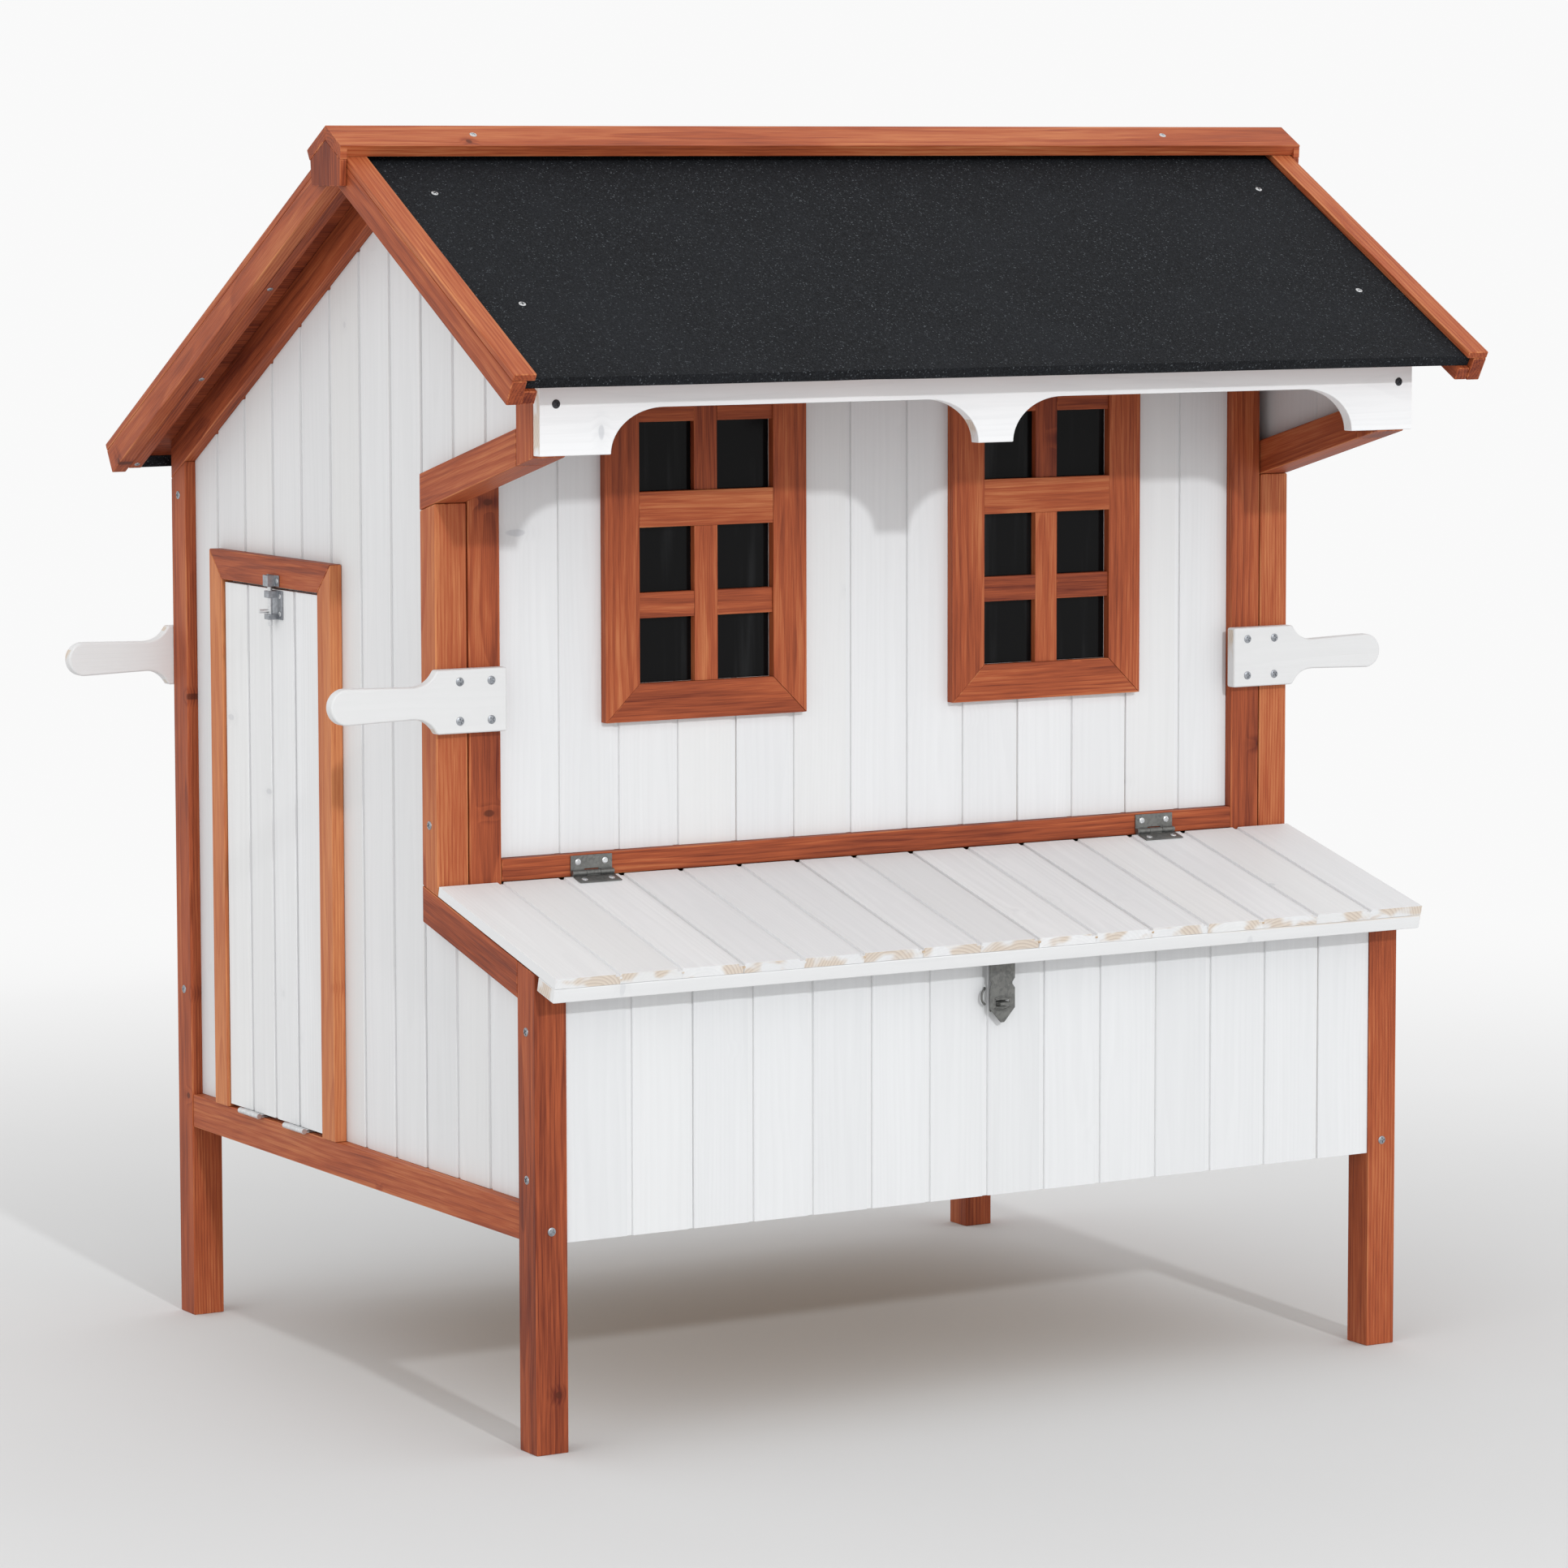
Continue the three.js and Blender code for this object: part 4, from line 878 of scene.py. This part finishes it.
def roof_screws():
    """Fixings through the felt beside each rake, along the ridge boards and up under the rakes."""
    ridge_low, ridge_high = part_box("ridge_cap")
    apex = Vector((0, ridge_line(), ridge_high.z))
    for slope, up in UP_SLOPES.items():
        above = upward(X.cross(up))
        low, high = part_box(f"roof_felt_{slope}")
        span = levels(f"roof_felt_{slope}", up)
        top = levels(f"roof_felt_{slope}", above)[-1]
        places = []
        for share in FELT_SCREWS["up_slope"]:
            at = up * (span[0] + (span[-1] - span[0]) * share) + above * top
            places += [at + X * x for x in (low.x + FELT_SCREWS["inset"], high.x - FELT_SCREWS["inset"])]
        screws(f"screws_felt_{slope}", places, above, size=ROOF_HEAD, look=ZINC)
        at = apex - up * RIDGE_SCREWS["down"]
        xs = [ridge_low.x + (ridge_high.x - ridge_low.x) * share for share in RIDGE_SCREWS["along"]]
        screws(f"screws_ridge_{slope}", [at + X * x for x in xs], above, size=ROOF_HEAD, look=ZINC)
        for side, out in SIDES.items():
            node = f"rake_{slope}_{side}"
            under = levels(node, above)[0]
            ends = levels(node, up)
            face = levels(node, out)[-1]
            at = above * under + out * (face - RAKE_SCREWS["inset"])
            places = [up * (ends[0] + (ends[-1] - ends[0]) * share) + at for share in RAKE_SCREWS["up_slope"]]
            screws(f"screws_{node}", places, -above, size=RAKE_HEAD)


HINGE_SCREWS = {"inset": 8 * MM, "drop": 6.5 * MM, "from_edge": 7 * MM}
PLATE, KEEPER_PLATE = 1.2 * MM, 1.0 * MM      # thickness of the sheet metal under the screws


def hinge_screws():
    """Two screws in each leaf of the lid's hinges."""
    for number in (1, 2):
        low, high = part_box(f"lid_hinge_frame_{number}")
        xs = (low.x + HINGE_SCREWS["inset"], high.x - HINGE_SCREWS["inset"])
        places = grid(xs, (high.y - PLATE,), (high.z - HINGE_SCREWS["drop"],))
        screws(f"screws_lid_hinge_{number}", places, -Y, size=HINGE_HEAD, look=ZINC)
        leaf = f"lid_hinge_leaf_{number}"
        normal = X.cross(UP_PORCH)
        face = levels(leaf, normal)[0] + PLATE
        row = levels(leaf, UP_PORCH)[0] + HINGE_SCREWS["from_edge"]
        places = [X * x + UP_PORCH * row + normal * face for x in xs]
        screws(f"screws_lid_leaf_{number}", places, normal, "lid", HINGE_HEAD, ZINC)


BOLT_SCREWS = {"inset": 5.5 * MM, "rise": 9 * MM}
KEEPER_SCREW_INSET = 4 * MM


def latch_screws():
    """Four screws in the bolt's back plate and two in its keeper."""
    low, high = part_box("bolt_body")
    middle_z = (low.z + high.z) / 2
    ys = (low.y + BOLT_SCREWS["inset"], high.y - BOLT_SCREWS["inset"])
    zs = (middle_z - BOLT_SCREWS["rise"], middle_z + BOLT_SCREWS["rise"])
    screws("screws_bolt_body", grid((high.x - PLATE,), ys, zs), -X, "ramp_door", BOLT_HEAD, ZINC)
    low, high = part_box("bolt_keeper")
    middle_z = (low.z + high.z) / 2
    ys = (low.y + KEEPER_SCREW_INSET, high.y - KEEPER_SCREW_INSET)
    places = grid((high.x - KEEPER_PLATE,), ys, (middle_z,))
    screws("screws_bolt_keeper", places, -X, size=BOLT_HEAD, look=ZINC)


# ---------------------------------------- assembly

def build_hutch():
    """Everything that stands still: frame, walls, windows, roof, floor and handles."""
    for side, out in SIDES.items():
        gable_timbers(side, out)
        eave_bracket(side, out)
        gable_rafters(side, out)
        wall(f"gable_boards_{side}", Y, Z, out, bare_back=False)
        for slope in UP_SLOPES:
            rake(slope, side, out)
        window_frame(side)
        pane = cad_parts[f"window_pane_{side}"].data
        pane.materials.clear()
        pane.materials.append(PANE)
    timber("sill_rail", X, -Y, tone=0.40)
    ridge_cap()
    wall("front_wall_boards", X, Z, -Y)
    # The nest front's boards take darker tones than the other walls: painted shade, so that out in the open
    # below the lid they look no brighter than the front wall under the roof.
    wall("nest_front_boards", X, Z, -Y, tones=(0.5, 1.5))
    wall("back_wall_boards", X, Z, Y)
    # The valance takes a lighter tone than any board: painted light, which makes it brighter than the walls.
    painted("valance", X, -Y, tone=-1.2)
    # The handles take a darker tone than the walls: partly a greyer paint, partly painted shade for the
    # handles at the back.
    for row, out in (("front", -Y), ("back", Y)):
        for side in SIDES:
            painted(f"handle_{row}_{side}", X, out, arris=HANDLE_ARRIS, tone=1.9)
    for slope in UP_SLOPES:
        roof_felt(slope)
        node = f"roof_deck_{slope}"
        piece(node + "_sheet", [dress(solid(node), X, Z, tone=0.3)], "root", STAIN, [node])
    floor_sheet = dress(solid("floor_panel"), X, Z, tone=0.5)
    piece("floor_sheet", [floor_sheet], "root", BARE, ["floor_panel"])


LID_UNEVEN = 1.1 * MM          # how much the sawn ends of the lid's boards differ


def build_lid():
    """The nest box lid with its hinges and its hasp."""
    # The lid's boards take lighter tones than the walls: painted light, which brightens the lid beyond what
    # the lamps and the sky give it.
    wall("lid_boards", X, UP_PORCH, X.cross(UP_PORCH), "lid", bare_back=False, channel_light=0.8,
         uneven=LID_UNEVEN, tones=(-0.9, 0.3))
    painted("lid_batten", X, -Y, body="lid", tone=0.1)
    for number in (1, 2):
        metal(f"lid_hinge_frame_{number}", "root")
        metal(f"lid_hinge_leaf_{number}", "lid")
    metal("hasp_leaf", "lid")
    metal("hasp_strap", "hasp")
    metal("hasp_staple", "root")
    hasp_details()


HASP_RIDGE = {"reach": 9 * MM, "bow": 2.2 * MM, "off": 4.6 * MM, "radius": 0.9 * MM}
HASP_EYE = {"width": 4.6 * MM, "height": 16 * MM, "wire": 1.1 * MM, "stand": 5.5 * MM,
            "bend": 2 * MM, "beside": 5 * MM, "above_slot": 7 * MM}
HASP_PLATE_FROM = 20 * MM      # the strap's plate is flat for this far up from its lower end


def bent_wire(name, points, radius, body):
    """A round wire that runs smoothly by way of the given points."""
    curve = bpy.data.curves.new(name, "CURVE")
    curve.dimensions, curve.bevel_depth, curve.bevel_resolution, curve.use_fill_caps = "3D", radius, 3, True
    line = curve.splines.new("NURBS")
    line.points.add(len(points) - 1)
    for point, place in zip(line.points, points):
        point.co = (*place, 1.0)
    line.use_endpoint_u, line.order_u, line.resolution_u = True, 3, 6
    drawn = bpy.data.objects.new(name, curve)
    bpy.context.scene.collection.objects.link(drawn)
    mesh = bpy.data.meshes.new_from_object(drawn.evaluated_get(bpy.context.evaluated_depsgraph_get()))
    bpy.data.objects.remove(drawn)
    bm = bmesh.new()
    bm.from_mesh(mesh)
    bmesh.ops.remove_doubles(bm, verts=bm.verts, dist=WELD)
    bpy.data.meshes.remove(mesh)
    piece(name, [bm], body, STEEL)


def strap_face():
    """Y of the front of the strap's plate, well below its hinge."""
    plate_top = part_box("hasp_strap")[0].z + HASP_PLATE_FROM
    return min(v.co.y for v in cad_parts["hasp_strap"].data.vertices if v.co.z < plate_top)


def hasp_details():
    """The wire eye beside the strap and the two pressed ridges that stiffen its slot."""
    low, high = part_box("hasp_strap")
    staple_low, staple_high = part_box("hasp_staple")
    middle_x, slot_z = (low.x + high.x) / 2, (staple_low.z + staple_high.z) / 2
    for name, side in (("lower", -1), ("upper", 1)):
        points = [(middle_x + HASP_RIDGE["reach"] * t, strap_face(),
                   slot_z + side * (HASP_RIDGE["off"] + HASP_RIDGE["bow"] * (1 - t * t)))
                  for t in (-1.0, -0.5, 0.0, 0.5, 1.0)]
        bent_wire(f"hasp_ridge_{name}", points, HASP_RIDGE["radius"], "hasp")
    x, z = low.x - HASP_EYE["beside"], slot_z + HASP_EYE["above_slot"]
    half, root_x, tip_x = HASP_EYE["height"] / 2, x + HASP_EYE["width"], x - HASP_EYE["width"] / 2
    root_y, tip_y = staple_high.y, staple_high.y - HASP_EYE["stand"]
    upper = [(root_x, root_y, half), (x + HASP_EYE["bend"], tip_y, half), (tip_x, tip_y, half / 2)]
    eye = [(a, b, z + rise) for a, b, rise in upper] + [(a, b, z - rise) for a, b, rise in upper[::-1]]
    bent_wire("hasp_eye", eye, HASP_EYE["wire"], "root")


def build_ramp_door():
    """The ramp door with its frame, hinges, cleats and bolt."""
    door_frame()
    # The door's boards take lighter tones than the walls: painted light, against the shade they get from
    # being set back in the frame.
    wall("ramp_door_boards", Y, Z, -X, "ramp_door", bare_back=False, channel_light=0.9, tones=(-0.7, 0.0))
    ramp_cleats()
    for number in (1, 2):
        metal(f"ramp_hinge_frame_{number}", "root", ZINC)
        metal(f"ramp_hinge_leaf_{number}", "ramp_door", ZINC)
    metal("bolt_body", "ramp_door", SCREW)
    metal("bolt_rod", "bolt", ZINC)
    metal("bolt_keeper", "root", SCREW)


# ---------------------------------------- studio

CAMERA = {
    "target": Vector((0.0, 0.004, 0.6525)), "distance": 5.826, "azimuth": math.radians(-30.6),
    "elevation": math.radians(5.5), "roll": -0.002, "lens": 129.4, "shift": (0.003, -0.0497),
    "sensor": 36, "reach": 100,
}


def camera():
    """A long lens that looks at the hutch from its front left, a little above its middle."""
    a, e = CAMERA["azimuth"], CAMERA["elevation"]
    back = Vector((math.sin(a) * math.cos(e), -math.cos(a) * math.cos(e), math.sin(e)))
    data = bpy.data.cameras.new("camera")
    data.lens, data.sensor_width = CAMERA["lens"], CAMERA["sensor"]
    data.shift_x, data.shift_y = CAMERA["shift"]
    data.clip_end = CAMERA["reach"]
    made = bpy.data.objects.new("camera", data)
    made.location = CAMERA["target"] + back * CAMERA["distance"]
    made.rotation_mode = "QUATERNION"
    made.rotation_quaternion = (-back).to_track_quat("-Z", "Y") @ Quaternion((0, 0, 1), CAMERA["roll"])
    bpy.context.scene.collection.objects.link(made)
    bpy.context.scene.camera = made


LAMPS = (                      # name, energy, angular size in degrees, colour, direction of travel
    ("key", 1.01, 2.2, (0.96, 0.985, 1.0), (0.08, 0.91, -0.41)),
    ("fill", 0.31, 50.0, (1.0, 1.0, 1.0), (0.80, 0.15, -0.58)),
)
FLOOR_RADIUS, FLOOR_SIDES = 60.0, 96


def studio():
    """A pale floor under an even white sky, a small lamp in front and a broad one to the left."""
    bm = bmesh.new()
    bmesh.ops.create_circle(bm, cap_ends=True, segments=FLOOR_SIDES, radius=FLOOR_RADIUS)
    mesh = bpy.data.meshes.new("floor")
    bm.to_mesh(mesh)
    mesh.materials.append(studio_floor())
    floor = bpy.data.objects.new("floor", mesh)
    floor.location.z = cad_box[0].z
    bpy.context.scene.collection.objects.link(floor)

    for name, energy, spread, color, heading in LAMPS:
        sun = bpy.data.lights.new(name, "SUN")
        sun.energy, sun.angle, sun.color = energy, math.radians(spread), color
        lamp = bpy.data.objects.new(name, sun)
        lamp.rotation_mode = "QUATERNION"
        lamp.rotation_quaternion = Vector(heading).to_track_quat("-Z", "Y")
        bpy.context.scene.collection.objects.link(lamp)

    world = bpy.data.worlds.new("sky")
    bpy.context.scene.world = world
    world.use_nodes = True
    nodes, links = world.node_tree.nodes, world.node_tree.links
    place = nodes.new("ShaderNodeTexCoord")
    split = nodes.new("ShaderNodeSeparateXYZ")
    ramp = nodes.new("ShaderNodeValToRGB")
    for element, height, glow in zip(ramp.color_ramp.elements, (0.03, 0.45), (HORIZON, ZENITH)):
        element.position, element.color = height, rgb(glow, glow, glow)
    links.new(place.outputs["Generated"], split.inputs[0])
    links.new(split.outputs[2], ramp.inputs[0])
    links.new(ramp.outputs[0], nodes["Background"].inputs["Color"])
    bpy.context.scene.view_settings.view_transform = "Standard"


camera()
studio()
build_hutch()
build_lid()
build_ramp_door()
for fasten in (handle_screws, frame_screws, valance_screws, roof_screws, hinge_screws, latch_screws):
    fasten()
